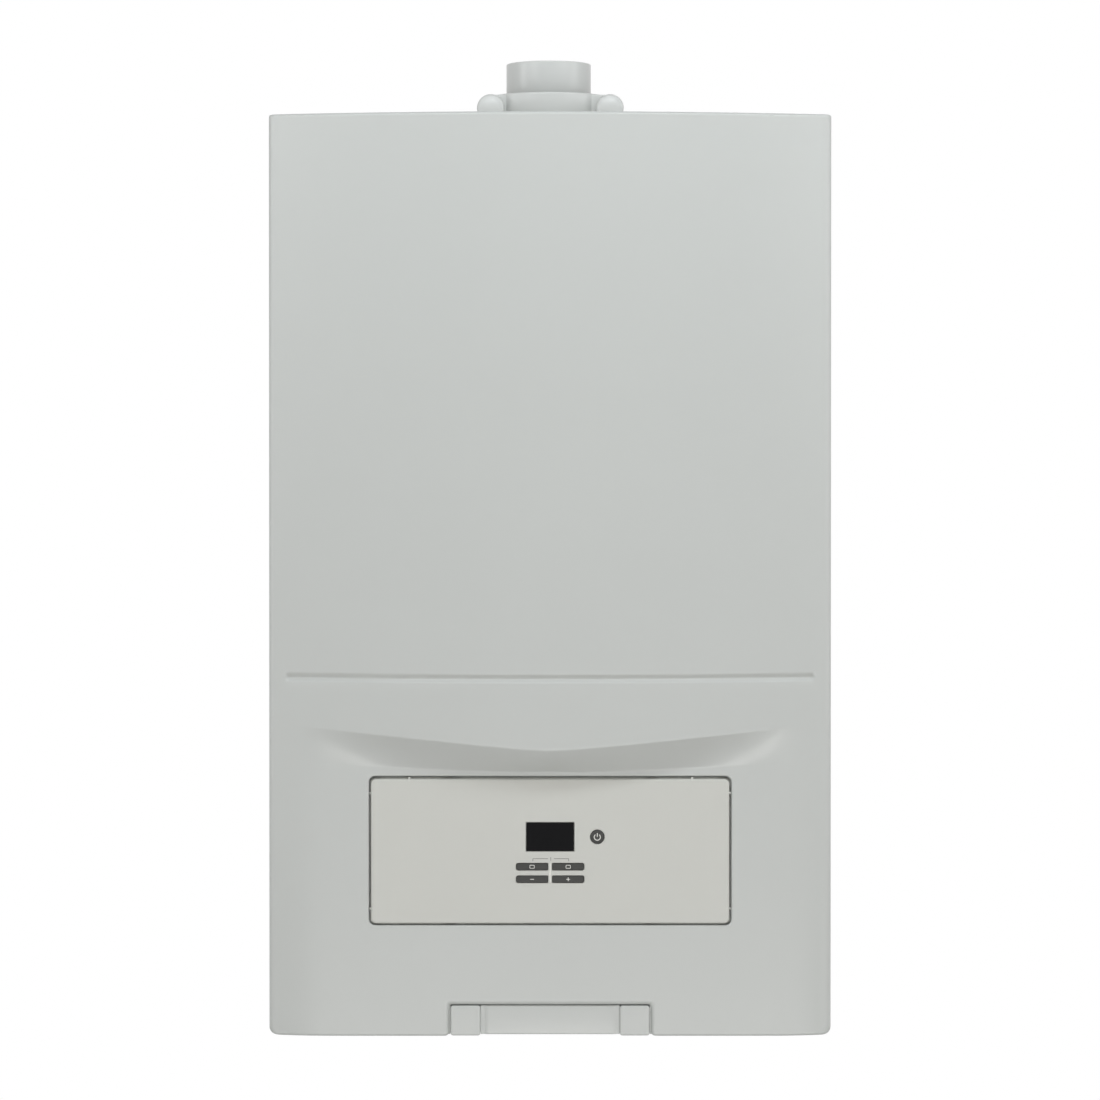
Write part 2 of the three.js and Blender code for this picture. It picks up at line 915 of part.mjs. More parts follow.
const flueTube = () =>
  turned(
    pipe(
      flueTubeRadius,
      flueTubeRadius - flueTubeWall,
      caseHeight - flueTubeBelow,
      caseHeight + flueTubeTop,
    ),
    36,
  ).translate(0, flueY, 0);

function flueSeal() {
  const outer = flueTubeRadius - flueTubeWall - seat;
  const top = caseHeight + flueTubeTop - sealDrop;
  return turned(pipe(outer, outer - sealWidth, top - sealHeight, top), 28).translate(0, flueY, 0);
}

// A screw cap with a domed edge on the front of a test point.
function testCap(side) {
  const r = testPointRadius;
  const face = flueY - testPointFront - seat;
  return turnedY(
    [
      [0, 0],
      [r, 0],
      [r, -testCapThickness + 2],
      [r - 2, -testCapThickness],
      [0, -testCapThickness],
    ],
    24,
  ).translate(side * testPointAt, face, caseHeight + testPointHeight);
}

// ------------------------------------------------------------------ heat exchanger

const flueBossTop = exchangerHeight + exchangerRadius + 10;

const flueDuct = () =>
  turned(
    pipe(
      flueTubeRadius,
      flueTubeRadius - flueTubeWall,
      flueBossTop + seat,
      caseHeight - flueTubeBelow - seat,
    ),
    24,
  ).translate(0, flueY, 0);

const flowPortHeight = exchangerHeight - 20;
const flowPortDepth = exchangerFront - flowPortInset;
const returnPortX = 60;
const returnPortDepth = 150;
const condensateDepth = exchangerFront - drainInset;
const siphonDepth = condensateDepth;
const bossDrop = 8; // how far the bottom ports reach below the exchanger's underside at their place
const lowerSurface = (x) => exchangerHeight - Math.sqrt(exchangerRadius ** 2 - x ** 2);
const returnPortEnd = lowerSurface(returnPortX) - 2.5 * bossDrop;
const condensatePortEnd = lowerSurface(condensateX) - bossDrop;
const flowPortEnd = exchangerRadius + 18;

// A drum on its side, open at the front, with ports for flue gas, water and condensate.
function exchangerHousing() {
  const back = -exchangerBack;
  const front = -exchangerFront;
  const drum = rodY(exchangerRadius, 0, exchangerHeight, front, back, drumSides);
  const inside = rodY(
    exchangerRadius - exchangerWall,
    0,
    exchangerHeight,
    front - 1,
    back - exchangerWall,
    drumSides,
  );
  const flue = rodZ(flueTubeRadius + 5, 0, flueY, exchangerHeight, flueBossTop, 24);
  const flueBore = rodZ(
    flueTubeRadius - flueTubeWall,
    0,
    flueY,
    exchangerHeight,
    flueBossTop + 1,
    24,
  );
  const flowPort = rodX(portRadius, -flowPortDepth, flowPortHeight, -flowPortEnd, -portRoot);
  const flowBore = rodX(
    portRadius - portWall,
    -flowPortDepth,
    flowPortHeight,
    -flowPortEnd - 1,
    -portRoot,
  );
  const down = (radius, x, depth, end) =>
    rodZ(radius, x, -depth, end, exchangerHeight - exchangerRadius / 2);
  const returnPort = down(portRadius, returnPortX, returnPortDepth, returnPortEnd);
  const returnBore = down(
    portRadius - portWall,
    returnPortX,
    returnPortDepth,
    returnPortEnd - 1,
  );
  const drainPort = down(portRadius, -condensateX, condensateDepth, condensatePortEnd);
  const drainBore = down(
    portRadius - portWall,
    -condensateX,
    condensateDepth,
    condensatePortEnd - 1,
  );
  return cut(
    join(drum, flue, flowPort, returnPort, drainPort),
    inside,
    flueBore,
    flowBore,
    returnBore,
    drainBore,
  );
}

// The pack of coils: a pleated sleeve with one crest for each turn.
function exchangerCoil() {
  const outer = (exchangerRadius - exchangerWall) * Math.cos(Math.PI / drumSides) - seat;
  const back = -exchangerBack - exchangerWall - seat;
  const pitch = (exchangerLength - exchangerWall - 6) / coilTurns;
  const crest = Array.from({ length: coilTurns }, (_, i) => [
    [outer, -i * pitch],
    [outer, -(i + 0.6) * pitch],
    [outer - coilWaist, -(i + 0.8) * pitch],
  ])
    .flat()
    .slice(0, -1);
  const inner = crest.map(([r, h]) => [r - coilWall, h]).reverse();
  return turnedY([...crest, ...inner], 16).translate(0, back, exchangerHeight);
}

// The burner: a tube closed at its far end, with the flange that the door holds.
function burnerTube() {
  const flangeFront = -(doorBack - seat);
  const flangeBack = flangeFront + burnerFlange;
  const end = flangeFront + burnerLength;
  return turnedY(
    [
      [burnerRadius - burnerWall, flangeFront],
      [burnerFlangeRadius, flangeFront],
      [burnerFlangeRadius, flangeBack],
      [burnerRadius, flangeBack],
      [burnerRadius, end],
      [0, end],
      [0, end - burnerWall],
      [burnerRadius - burnerWall, end - burnerWall],
    ],
    24,
  ).translate(0, 0, exchangerHeight);
}

const doorSeal = () =>
  turnedY(
    pipe(
      exchangerRadius - 2,
      exchangerRadius - exchangerWall - 6,
      -exchangerFront - seat - doorSealThickness,
      -exchangerFront - seat,
    ),
    drumSides,
  ).translate(0, 0, exchangerHeight);

function burnerDoor() {
  const plate = rodY(exchangerRadius, 0, exchangerHeight, -doorFront, -doorBack, drumSides);
  const boss = rodY(
    doorBossRadius,
    0,
    exchangerHeight,
    -doorFront - doorBoss,
    -doorFront + 1,
    24,
  );
  const bore = rodY(
    burnerRadius - burnerWall,
    0,
    exchangerHeight,
    -doorFront - doorBoss - 1,
    -doorBack + 1,
    24,
  );
  const electrodeHole = rodY(
    electrodeRadius + seat,
    electrodeAt,
    exchangerHeight + electrodeAt,
    -doorFront - doorBoss - 1,
    -doorBack + 1,
    12,
  );
  return cut(join(plate, boss), bore, electrodeHole);
}

// A ceramic rod with a collar that rests on the door.
function ignitionElectrode() {
  const collarBack = -doorFront - seat;
  return turnedY(
    [
      [0, collarBack - 14],
      [electrodeRadius, collarBack - 14],
      [electrodeRadius, collarBack - 4],
      [electrodeRadius + 3, collarBack - 4],
      [electrodeRadius + 3, collarBack],
      [electrodeRadius, collarBack],
      [electrodeRadius, collarBack + electrodeLength],
      [0, collarBack + electrodeLength],
    ],
    12,
  ).translate(electrodeAt, 0, exchangerHeight + electrodeAt);
}

// ------------------------------------------------------------------ fan, gas and air

// The cast passage from the fan's outlet to the burner door.
function burnerManifold() {
  const back = -doorFront - doorBoss - seat;
  const chamber = rodY(manifoldRadius, 0, exchangerHeight, back - manifoldDepth, back, 24);
  const rise = exchangerHeight - fanOutletTop;
  const tube = bentRod(
    [
      [0, -fanMiddle, exchangerHeight],
      [fanOutletX * 0.54, -fanMiddle, exchangerHeight - 0.18 * rise],
      [fanOutletX * 0.92, -fanMiddle, exchangerHeight - 0.53 * rise],
      [fanOutletX, -fanMiddle, fanOutletTop + 0.14 * rise],
      [fanOutletX, -fanMiddle, fanOutletTop + seat],
    ],
    manifoldTubeRadius,
    12,
    10,
  );
  return join(chamber, tube);
}

// A round fan casing with its intake behind and a straight outlet upwards.
function fanHousing() {
  const drum = rodY(fanRadius, fanX, fanHeight, -fanFront, -fanBack, 28);
  const outlet = rodZ(fanOutletRadius, fanOutletX, -fanMiddle, fanHeight, fanOutletTop);
  const hollow = rodY(
    fanRadius - fanWall,
    fanX,
    fanHeight,
    -fanFront + fanWall,
    -fanBack - fanWall,
    28,
  );
  const outletBore = rodZ(
    fanOutletRadius - fanOutletWall,
    fanOutletX,
    -fanMiddle,
    fanHeight,
    fanOutletTop + 1,
  );
  const intake = rodY(
    venturiBore + 4,
    fanX,
    fanHeight,
    -fanBack - fanWall - 1,
    -fanBack + 1,
  );
  const shaftHole = rodY(
    shaftRadius + seat,
    fanX,
    fanHeight,
    -fanFront - 1,
    -fanFront + fanWall + 1,
    12,
  );
  return cut(join(drum, outlet), hollow, outletBore, intake, shaftHole);
}

// A disc with straight blades on a shaft that runs into the motor.
function fanImpeller() {
  const hubBack = impellerThickness / 2;
  const disc = rodY(impellerRadius, 0, 0, -hubBack, -hubBack + 2, 24);
  const hub = rodY(shaftRadius * 2, 0, 0, -hubBack, hubBack, 12);
  const shaft = rodY(
    shaftRadius,
    0,
    0,
    -fanThickness / 2 - fanMotorThickness + 4,
    0,
    12,
  );
  const blades = Array.from({ length: impellerBlades }, (_, i) =>
    box(
      shaftRadius * 1.5,
      impellerRadius - 1,
      -hubBack + 1,
      hubBack,
      -impellerBladeThickness / 2,
      impellerBladeThickness / 2,
    ).rotateY((i / impellerBlades) * 2 * Math.PI),
  );
  return join(disc, hub, shaft, ...blades);
}

function fanMotor() {
  const back = -fanFront - seat;
  const body = turnedY(
    [
      [shaftRadius + seat, back],
      [fanMotorRadius, back],
      [fanMotorRadius, back - fanMotorThickness + 3],
      [fanMotorRadius - 3, back - fanMotorThickness],
      [0, back - fanMotorThickness],
      [0, back - fanMotorThickness + 2],
      [shaftRadius + seat, back - fanMotorThickness + 2],
    ],
    24,
  );
  return body.translate(fanX, 0, fanHeight);
}

const venturiFront = -fanBack + seat;
const venturiBack = venturiFront + venturiLength;
const gasPortY = venturiFront + venturiLength / 2;
const gasPortEnd = fanHeight - venturiRadius - gasPortDrop;

// The ring where gas meets the air, with the gas port under it.
function venturi() {
  const tube = turnedY(
    pipe(venturiRadius, venturiBore, venturiFront, venturiBack),
    24,
  ).translate(fanX, 0, fanHeight);
  const port = rodZ(
    gasPortRadius,
    fanX,
    gasPortY,
    gasPortEnd,
    fanHeight - (venturiRadius + venturiBore) / 2,
    12,
  );
  const bore = rodZ(gasPortRadius - 3, fanX, gasPortY, gasPortEnd - 1, fanHeight, 12);
  return cut(join(tube, port), bore);
}

const silencerX1 = panelInside - 2 * sheet - 8;
const silencerX0 = silencerX1 - silencerWidth;

// A tall moulded box open at the top, and the bent pipe that feeds the venturi from it.
function intakeSilencer() {
  const top = silencerTop;
  const back = silencerFront - silencerDepth;
  const rise = silencerBottom - fanHeight;
  const chamber = alongZ(
    roundedRect(silencerX0, silencerX1, -silencerFront, -back, 12),
    silencerBottom,
    top,
  );
  const inner = alongZ(
    roundedRect(
      silencerX0 + silencerWall,
      silencerX1 - silencerWall,
      -silencerFront + silencerWall,
      -back - silencerWall,
      9,
    ),
    silencerBottom + silencerWall,
    top + 1,
  );
  const x = (silencerX0 + silencerX1) / 2;
  const y = -(silencerFront + back) / 2;
  const feed = bentRod(
    [
      [fanX, venturiBack + seat, fanHeight],
      [fanX, venturiBack + seat + 0.21 * rise, fanHeight],
      [fanX + 0.22 * (x - fanX), y - 0.16 * rise, fanHeight + 0.09 * rise],
      [fanX + 0.75 * (x - fanX), y, fanHeight + 0.36 * rise],
      [x, y, silencerBottom - 0.24 * rise],
      [x, y, silencerBottom + 1],
    ],
    airPipeRadius,
    12,
    12,
  );
  const stay = box(
    silencerX1 - 2 * silencerWall,
    panelInside,
    y - stayHalf,
    y + stayHalf,
    silencerBottom + stayHeight,
    silencerBottom + stayHeight + stayThickness,
  );
  return join(cut(chamber, inner), feed, stay);
}

const gasValveTop = gasPortEnd - seat - gasValveNeck;
const gasValveBottom = pumpHeight + gasValveRise;
const gasValveHeight = gasValveTop - gasValveBottom;
const gasInletHeight = gasValveBottom + gasInletRise;
const gasValveFront = gasPortY - 14;

// The valve block with its outlet up to the venturi and its inlet on the left.
function gasValve() {
  const x0 = fanX - gasValveWidth / 2;
  const y0 = gasValveFront;
  const block = box(
    x0,
    x0 + gasValveWidth,
    y0,
    y0 + gasValveDepth,
    gasValveBottom,
    gasValveTop,
  );
  const outlet = rodZ(gasPortRadius, fanX, gasPortY, gasValveTop - 1, gasPortEnd - seat, 12);
  const solenoid = rodX(
    solenoidRadius,
    y0 + gasValveDepth / 2,
    gasValveBottom + gasValveHeight * 0.65,
    x0 + gasValveWidth - 1,
    x0 + gasValveWidth + solenoidLength,
    14,
  );
  const inlet = rodX(
    gasPortRadius + 1,
    y0 + gasValveDepth / 2,
    gasInletHeight,
    x0 - 10,
    x0 + 1,
    12,
  );
  return join(block, outlet, solenoid, inlet);
}

function gasPipe() {
  const endX = fanX - gasValveWidth / 2 - 10 - seat;
  const endY = gasValveFront + gasValveDepth / 2;
  const rise = gasInletHeight - connectionTop;
  return geometryOf(
    solid(
      bentRod(
        [
          [0, -connectionDepth, connectionTop + seat],
          [0, -connectionDepth, connectionTop + 0.25 * rise],
          [endX * 0.03, -connectionDepth - 0.08 * rise, connectionTop + 0.56 * rise],
          [endX * 0.18, (endY - connectionDepth) / 2 - 0.08 * rise, gasInletHeight - 0.08 * rise],
          [endX * 0.5, endY, gasInletHeight],
          [endX, endY, gasInletHeight],
        ],
        gasPipeRadius,
        8,
        20,
      ),
    ),
  );
}

// ------------------------------------------------------------------ water side

// A pipe end below the base plate: bore, union nut, and the flange it hangs from.
function connection(x, radius) {
  const underPlate = baseHeight - seat;
  const tube = rodZ(radius, x, -connectionDepth, connectionBottom, connectionTop);
  const flange = rodZ(connectionFlange, x, -connectionDepth, underPlate - 4, underPlate);
  const nut = rodZ(
    nutRadius,
    x,
    -connectionDepth,
    nutBottom,
    nutBottom + nutHeight,
    6,
  );
  const waist = Math.min(connectionFlange, waterX / 2 - seat);
  const sides = box(
    x - waist,
    x + waist,
    -connectionDepth - connectionFlange,
    -connectionDepth + connectionFlange,
    connectionBottom - 1,
    connectionTop + 1,
  );
  const bore = rodZ(
    radius - stubWall,
    x,
    -connectionDepth,
    connectionBottom - 1,
    connectionTop + 1,
  );
  return cut(common(join(tube, flange, nut), sides), bore);
}

// The pump's volute with its foot, inlet, outlet and the bosses for the vent and safety valve.
function pumpHousing() {
  const drum = rodY(pumpRadius, pumpX, pumpHeight, -pumpFront, -pumpBack, 24);
  const foot = box(
    pumpX + 6,
    pumpX + 30,
    -pumpFront + 10,
    -pumpBack - 10,
    baseTop + seat,
    pumpHeight - pumpRadius + 12,
  );
  const up = (radius, x, from, to) => rodZ(radius, x, -connectionDepth, from, to);
  const inletFrom = connectionTop + seat;
  const ventBoss = up(ventRadius - 4, ventX, pumpHeight, ventBottom);
  const safetyBoss = rodX(
    portRadius - 3,
    -connectionDepth,
    pumpHeight,
    pumpX,
    safetyX - safetyRadius - seat,
    12,
  );
  const hollow = rodY(
    pumpRadius - pumpWall,
    pumpX,
    pumpHeight,
    -pumpFront + pumpWall,
    -pumpBack - pumpWall,
    24,
  );
  const bore = pumpPortRadius - 4;
  const shaftHole = rodY(
    shaftRadius + seat,
    pumpX,
    pumpHeight,
    -pumpFront - 1,
    -pumpFront + pumpWall + 1,
    12,
  );
  return cut(
    join(
      drum,
      foot,
      up(pumpPortRadius, heatingX, inletFrom, pumpHeight),
      up(pumpPortRadius, pumpOutletX, pumpHeight, pumpOutletTop),
      ventBoss,
      safetyBoss,
    ),
    hollow,
    up(bore, heatingX, inletFrom - 1, pumpHeight),
    up(bore, pumpOutletX, pumpHeight, pumpOutletTop + 1),
    shaftHole,
  );
}

function pumpMotor() {
  const back = -pumpFront - seat;
  const front = back - pumpMotorLength;
  const body = turnedY(
    [
      [shaftRadius + seat, back],
      [pumpMotorRadius, back],
      [pumpMotorRadius, front + 6],
      [pumpMotorRadius - 6, front],
      [0, front],
      [0, back - pumpShaftReach - 6],
      [shaftRadius + seat, back - pumpShaftReach - 6],
    ],
    24,
  ).translate(pumpX, 0, pumpHeight);
  const terminals = box(
    pumpX - terminalReach,
    pumpX - pumpMotorRadius + terminalInset,
    front + terminalInset,
    back - terminalInset,
    pumpHeight - terminalHalf,
    pumpHeight + terminalHalf,
  );
  const core = rodY(pumpMotorRadius - 4, pumpX, pumpHeight, front - 1, back + 1, 24);
  return join(body, cut(terminals, core));
}

function pumpImpeller() {
  const half = pumpImpellerThickness / 2;
  const disc = rodY(pumpImpellerRadius, 0, 0, -half, half, 20);
  const eye = rodY(shaftRadius * 2.5, 0, 0, 0, half + 1, 12);
  const shaft = rodY(shaftRadius, 0, 0, -pumpThickness / 2 - pumpShaftReach, -half + 1, 12);
  return join(cut(disc, eye), shaft);
}

// An automatic air vent: a float chamber with a screw cap.
const airVent = () =>
  turned(
    [
      [0, ventBottom + seat],
      [ventRadius, ventBottom + seat],
      [ventRadius, ventBottom + ventLength - 10],
      [5, ventBottom + ventLength - 8],
      [5, ventBottom + ventLength],
      [0, ventBottom + ventLength],
    ],
    16,
  ).translate(ventX, -connectionDepth, 0);

const safetyFront = -connectionDepth - safetyLength / 2;

function safetyValve() {
  const body = rodY(
    safetyRadius,
    safetyX,
    pumpHeight,
    safetyFront,
    -connectionDepth + safetyLength / 2,
    14,
  );
  const drain = rodZ(
    safetyRadius - 4,
    safetyX,
    -connectionDepth + 8,
    baseTop + seat,
    pumpHeight,
    12,
  );
  const spindle = rodY(3, safetyX, pumpHeight, safetyFront - knobLength / 2, safetyFront + 1, 10);
  return join(body, drain, spindle);
}

// A ribbed turning knob with a blind hole for the valve's spindle.
function safetyKnob() {
  const back = -seat;
  const front = back - knobLength;
  const skirt = rodY(knobRadius - 1, 0, 0, front, back, 20);
  const ribs = Array.from({ length: knobRibs }, (_, i) =>
    box(knobRadius - 3, knobRadius, front, back - 3, -1.5, 1.5).rotateY(
      ((i + 0.5) / knobRibs) * 2 * Math.PI,
    ),
  );
  const hole = rodY(3 + seat, 0, 0, -knobLength / 2 - seat, 1, 10);
  return cut(join(skirt, ...ribs), hole);
}

// The three-way valve over the heating flow connection.
function diverterValve() {
  const x = -heatingX;
  const y = -connectionDepth;
  const body = rodZ(diverterRadius, x, y, connectionTop + seat, diverterTop);
  const flowPort = rodX(portRadius, y, diverterPortHeight, x - diverterPortReach, x);
  const link = rodX(
    pipeRadius,
    y + 15,
    diverterLinkHeight,
    x,
    x + diverterPortReach,
  );
  const sensorBoss = rodY(sensorRadius - 2, x, sensorHeight, y - diverterRadius - 2, y);
  const bore = rodZ(
    heatingStubRadius - stubWall,
    x,
    y,
    connectionTop - 1,
    diverterTop - 8,
    12,
  );
  return cut(join(body, flowPort, link, sensorBoss), bore);
}

function diverterMotor() {
  const base = diverterTop + seat;
  return turned(
    [
      [0, base],
      [diverterMotorRadius, base],
      [diverterMotorRadius, base + diverterMotorHeight - 4],
      [diverterMotorRadius - 4, base + diverterMotorHeight],
      [0, base + diverterMotorHeight],
    ],
    20,
  ).translate(-heatingX, -connectionDepth, 0);
}

function pressureSensor() {
  const back = -connectionDepth - diverterRadius - 2 - seat;
  const hex = rodY(sensorRadius, -heatingX, sensorHeight, back - 10, back, 6);
  const plug = rodY(
    sensorRadius - 2,
    -heatingX,
    sensorHeight,
    back - sensorLength,
    back - 9,
    12,
  );
  return join(hex, plug);
}

// The stack of brazed plates, lying on the base plate, with a port at each end of its face.
function plateExchanger() {
  const front = -plateBack - plateDepth;
  const bottom = baseTop + seat;
  const half = plateLength / 2;
  const stack = alongY(
    roundedRect(-half, half, bottom, bottom + plateHeight, 12),
    front,
    -plateBack,
  );
  const ports = [-1, 1].map((side) =>
    rodY(
      pipeRadius,
      side * (half - 18),
      diverterLinkHeight,
      -connectionDepth + 15 + pipeRadius + seat,
      front + 1,
      14,
    ),
  );
  return join(stack, ...ports);
}

function flowPipe() {
  const startX = -flowPortEnd - seat;
  const endX = -heatingX - diverterPortReach - seat;
  return geometryOf(
    solid(
      bentRod(
        [
          [startX, -flowPortDepth, flowPortHeight],
          [startX - 14, -flowPortDepth, flowPortHeight],
          [startX - 28, -flowPortDepth + 4, flowPortHeight - 24],
          [startX - 30, -flowPortDepth + 30, (flowPortHeight + diverterPortHeight) / 2],
          [endX - 26, -connectionDepth, diverterPortHeight + 24],
          [endX - 14, -connectionDepth, diverterPortHeight],
          [endX, -connectionDepth, diverterPortHeight],
        ],
        pipeRadius,
        10,
        20,
      ),
    ),
  );
}

function returnPipe() {
  const rise = returnPortEnd - pumpOutletTop;
  return geometryOf(
    solid(
      bentRod(
        [
          [pumpOutletX, -connectionDepth, pumpOutletTop + seat],
          [pumpOutletX, -connectionDepth, pumpOutletTop + rise * 0.2],
          [
            (pumpOutletX + returnPortX) / 2,
            -(connectionDepth + returnPortDepth) / 2,
            pumpOutletTop + rise * 0.52,
          ],
          [returnPortX, -returnPortDepth, pumpOutletTop + rise * 0.82],
          [returnPortX, -returnPortDepth, returnPortEnd - seat],
        ],
        pipeRadius,
        10,
        16,
      ),
    ),
  );
}

// A bottle trap that hangs its outlet through the base plate.
function condensateSiphon() {
  return turned(
    [
      [0, siphonOutletBottom],
      [siphonOutletRadius, siphonOutletBottom],
      [siphonOutletRadius, baseTop + seat],
      [siphonRadius + 3, baseTop + seat],
      [siphonRadius + 3, baseTop + 8],
      [siphonRadius, baseTop + 8],
      [siphonRadius, siphonTop - 14],
      [siphonOutletRadius + 2, siphonTop - 8],
      [siphonOutletRadius + 2, siphonTop],
      [0, siphonTop],
    ],
    20,
  ).translate(-siphonX, -siphonDepth, 0);
}

function condensateHose() {
  const fall = condensatePortEnd - siphonTop;
  return geometryOf(
    solid(
      bentRod(
        [
          [-condensateX, -condensateDepth, condensatePortEnd - seat],
          [-condensateX, -condensateDepth, condensatePortEnd - fall * 0.16],
          [-condensateX - 40, -condensateDepth, siphonTop + fall * 0.6],
          [-siphonX + 20, -siphonDepth, siphonTop + fall * 0.4],
          [-siphonX, -siphonDepth, siphonTop + fall * 0.16],
          [-siphonX, -siphonDepth, siphonTop + seat],
        ],
        hoseRadius,
        8,
        20,
      ),
    ),
  );
}

// A flat vessel with rounded rims, against the back sheet, with its connecting nipple low in front.
function expansionVessel() {
  const hull = (inset) => {
    const half = vesselWidth / 2 - inset;
    const bottom = vesselBottom + inset;
    const top = vesselBottom + vesselHeight - inset;
    const b = vesselBevel;
    return new THREE.ExtrudeGeometry(
      roundedRect(-half + b, half - b, bottom + b, top - b, 30),
      {
        depth: vesselDepth - 2 * inset - 2 * b,
        bevelEnabled: true,
        bevelThickness: b,
        bevelSize: b,
        bevelSegments: 1,
      },
    )
      .rotateX(Math.PI / 2)
      .translate(0, -sheet - seat - inset - b, 0);
  };
  const front = -sheet - seat - vesselDepth;
  const height = vesselBottom + 3 * vesselBevel;
  const nipple = (radius, reach) =>
    rodY(radius, 0, height, front - reach, front + 2 * vesselWall);
  return cut(
    join(hull(0), nipple(vesselNipple, vesselNipple)),
    hull(vesselWall),
    nipple(vesselNipple - vesselWall, vesselNipple + 1),
  );
}

// ------------------------------------------------------------------ control box

const armInside = fasciaHalf - 0.7;
const armOutside = armInside + sheet + 0.5;
const boxHalf = fasciaHalf - boxInset;
const boxFront = -flatDepth + fasciaThickness + seat;
const boxBack = boxFront + boxDepth;
const boxBottom = fasciaBottom + 0.7;

// A cross plate on the base plate's front fold, with two arms that carry the hinge pins.
function controlBracket() {
  const plateY = -baseDepth - seat;
  const plate = box(
    -armOutside,
    armOutside,
    plateY - sheet,
    plateY,
    baseHeight - bracketLap,
    hingeZ + hingeArmHalf,
  );
  const arm = (side) =>
    box(
      Math.min(side * armInside, side * armOutside),
      Math.max(side * armInside, side * armOutside),
      hingeY,
      plateY,
      hingeZ - hingeArmHalf,
      hingeZ + hingeArmHalf,
    );
  const eye = (side) =>
    rodX(
      hingeArmHalf,
      hingeY,
      hingeZ,
      Math.min(side * armInside, side * armOutside),
      Math.max(side * armInside, side * armOutside),
      24,
    );
  const pinHoles = rodX(hingePinRadius + seat, hingeY, hingeZ, -armOutside - 1, armOutside + 1, 12);
  return cut(join(plate, arm(-1), arm(1), eye(-1), eye(1)), pinHoles);
}

// A tray open at the front. Its roof is an arc about the hinge, so that it swings out of the window.
function controlBox() {
  const swing = fasciaTop - hingeZ - 0.2;
  const roof = (inset) => {
    const reach = boxBack - inset - hingeY;
    const start = boxFront - hingeY;
    return Array.from({ length: 6 }, (_, i) => {
      const y = reach + ((start - reach) * i) / 5;
      return [hingeY + y, hingeZ + Math.sqrt((swing - inset) ** 2 - y ** 2)];
    });
  };
  const outer = alongX(
    polygon([[boxFront, boxBottom], [boxBack, boxBottom], ...roof(0)]),
    -boxHalf,
    boxHalf,
  );
  const inside = alongX(
    polygon([
      [boxFront - 1, boxBottom + boxWall],
      [boxBack - boxWall, boxBottom + boxWall],
      ...roof(boxWall),
      [boxFront - 1, hingeZ + swing - 2 * boxWall],
    ]),
    -boxHalf + boxWall,
    boxHalf - boxWall,
  );
  const pins = [-1, 1].map((side) =>
    rodX(
      hingePinRadius,
      hingeY,
      hingeZ,
      Math.min(side * (boxHalf - boxWall), side * armOutside),
      Math.max(side * (boxHalf - boxWall), side * armOutside),
      12,
    ),
  );
  const boardBack = boxFront + boardToFascia + boardThickness;
  const posts = [-1, 1].flatMap((side) =>
    [boxBottom + boardMargin + 8, hingeZ + swing - 30].map((z) =>
      rodY(
        postRadius,
        side * (boxHalf - boardMargin - 10),
        z,
        boardBack + seat,
        boxBack - 1,
        10,
      ),
    ),
  );
  return join(cut(outer, inside), ...pins, ...posts);
}

function circuitBoard() {
  const front = boxFront + boardToFascia;
  const half = boxHalf - boardMargin;
  const board = box(
    -half,
    half,
    front,
    front + boardThickness,
    boxBottom + boardMargin,
    fasciaTop - 2 * boardMargin,
  );
  const relays = [-0.7, -0.45, 0.5, 0.75].map((share) =>
    box(
      share * half - relayHalf,
      share * half + relayHalf,
      front + boardThickness - 0.5,
      front + boardThickness + relayDepth,
      hingeZ + relayBottom,
      hingeZ + relayBottom + relayHeight,
    ),
  );
  return join(board, ...relays);
}

const keys = [
  ["key_menu_left", -1, 0],
  ["key_menu_right", 1, 0],
  ["key_minus", -1, 1],
  ["key_plus", 1, 1],
];
const keyX = (side) => side * (keyRib / 2 + keyWidth / 2);
const keyZ = (row) => keyRowAt - row * keyPitch;
const keyShape = (side, row, grow) =>
  roundedRect(
    keyX(side) - keyWidth / 2 - grow,
    keyX(side) + keyWidth / 2 + grow,
    keyZ(row) - keyHeight / 2 - grow,
    keyZ(row) + keyHeight / 2 + grow,
    1 + grow,
    2,
  );

// The panel, with a recess for the display and a hole for each button.
function controlFascia() {
  const front = -flatDepth;
  const back = front + fasciaThickness;
  const b = fasciaBevel;
  const slab = new THREE.ExtrudeGeometry(
    roundedRect(
      -fasciaHalf + b,
      fasciaHalf - b,
      fasciaBottom + b,
      fasciaTop - b,
      fasciaCorner - b,
    ),
    { depth: fasciaThickness, bevelEnabled: true, bevelThickness: b, bevelSize: b,
      bevelSegments: 1 },
  )
    .rotateX(Math.PI / 2)
    .translate(0, back + b, 0);
  const kept = box(
    -caseWidth,
    caseWidth,
    front - 1,
    back,
    0,
    caseHeight,
  );
  const displayRecess = box(
    -displayWidth / 2,
    displayWidth / 2,
    front - 1,
    front + displayThickness,
    displayHeightAt - displayHeight / 2,
    displayHeightAt + displayHeight / 2,
  );
  const powerHole = rodY(
    powerButtonRadius + buttonGap,
    powerButtonAt,
    displayHeightAt,
    front - 1,
    back + 1,
    20,
  );
  const keyHoles = keys.map(([, side, row]) =>
    alongY(keyShape(side, row, buttonGap), front - 1, back + 1),
  );
  return cut(common(slab, kept), displayRecess, powerHole, ...keyHoles);
}

const display = () =>
  geometryOf(
    solid(
      box(
        -displayWidth / 2 + seat,
        displayWidth / 2 - seat,
        -flatDepth + 0.1,
        -flatDepth + displayThickness - seat,
        displayHeightAt - displayHeight / 2 + seat,
        displayHeightAt + displayHeight / 2 - seat,
      ),
    ),
  );

const buttonFront = -flatDepth - buttonProud;

const key = (side, row) =>
  geometryOf(solid(alongY(keyShape(side, row, 0), buttonFront, buttonFront + buttonLength)));

const powerButton = () =>
  turnedY(
    [
      [0, buttonFront],
      [powerButtonRadius - 0.5, buttonFront],
      [powerButtonRadius, buttonFront + 0.5],
      [powerButtonRadius, buttonFront + buttonLength],
      [0, buttonFront + buttonLength],
    ],
    20,
  ).translate(powerButtonAt, 0, displayHeightAt);

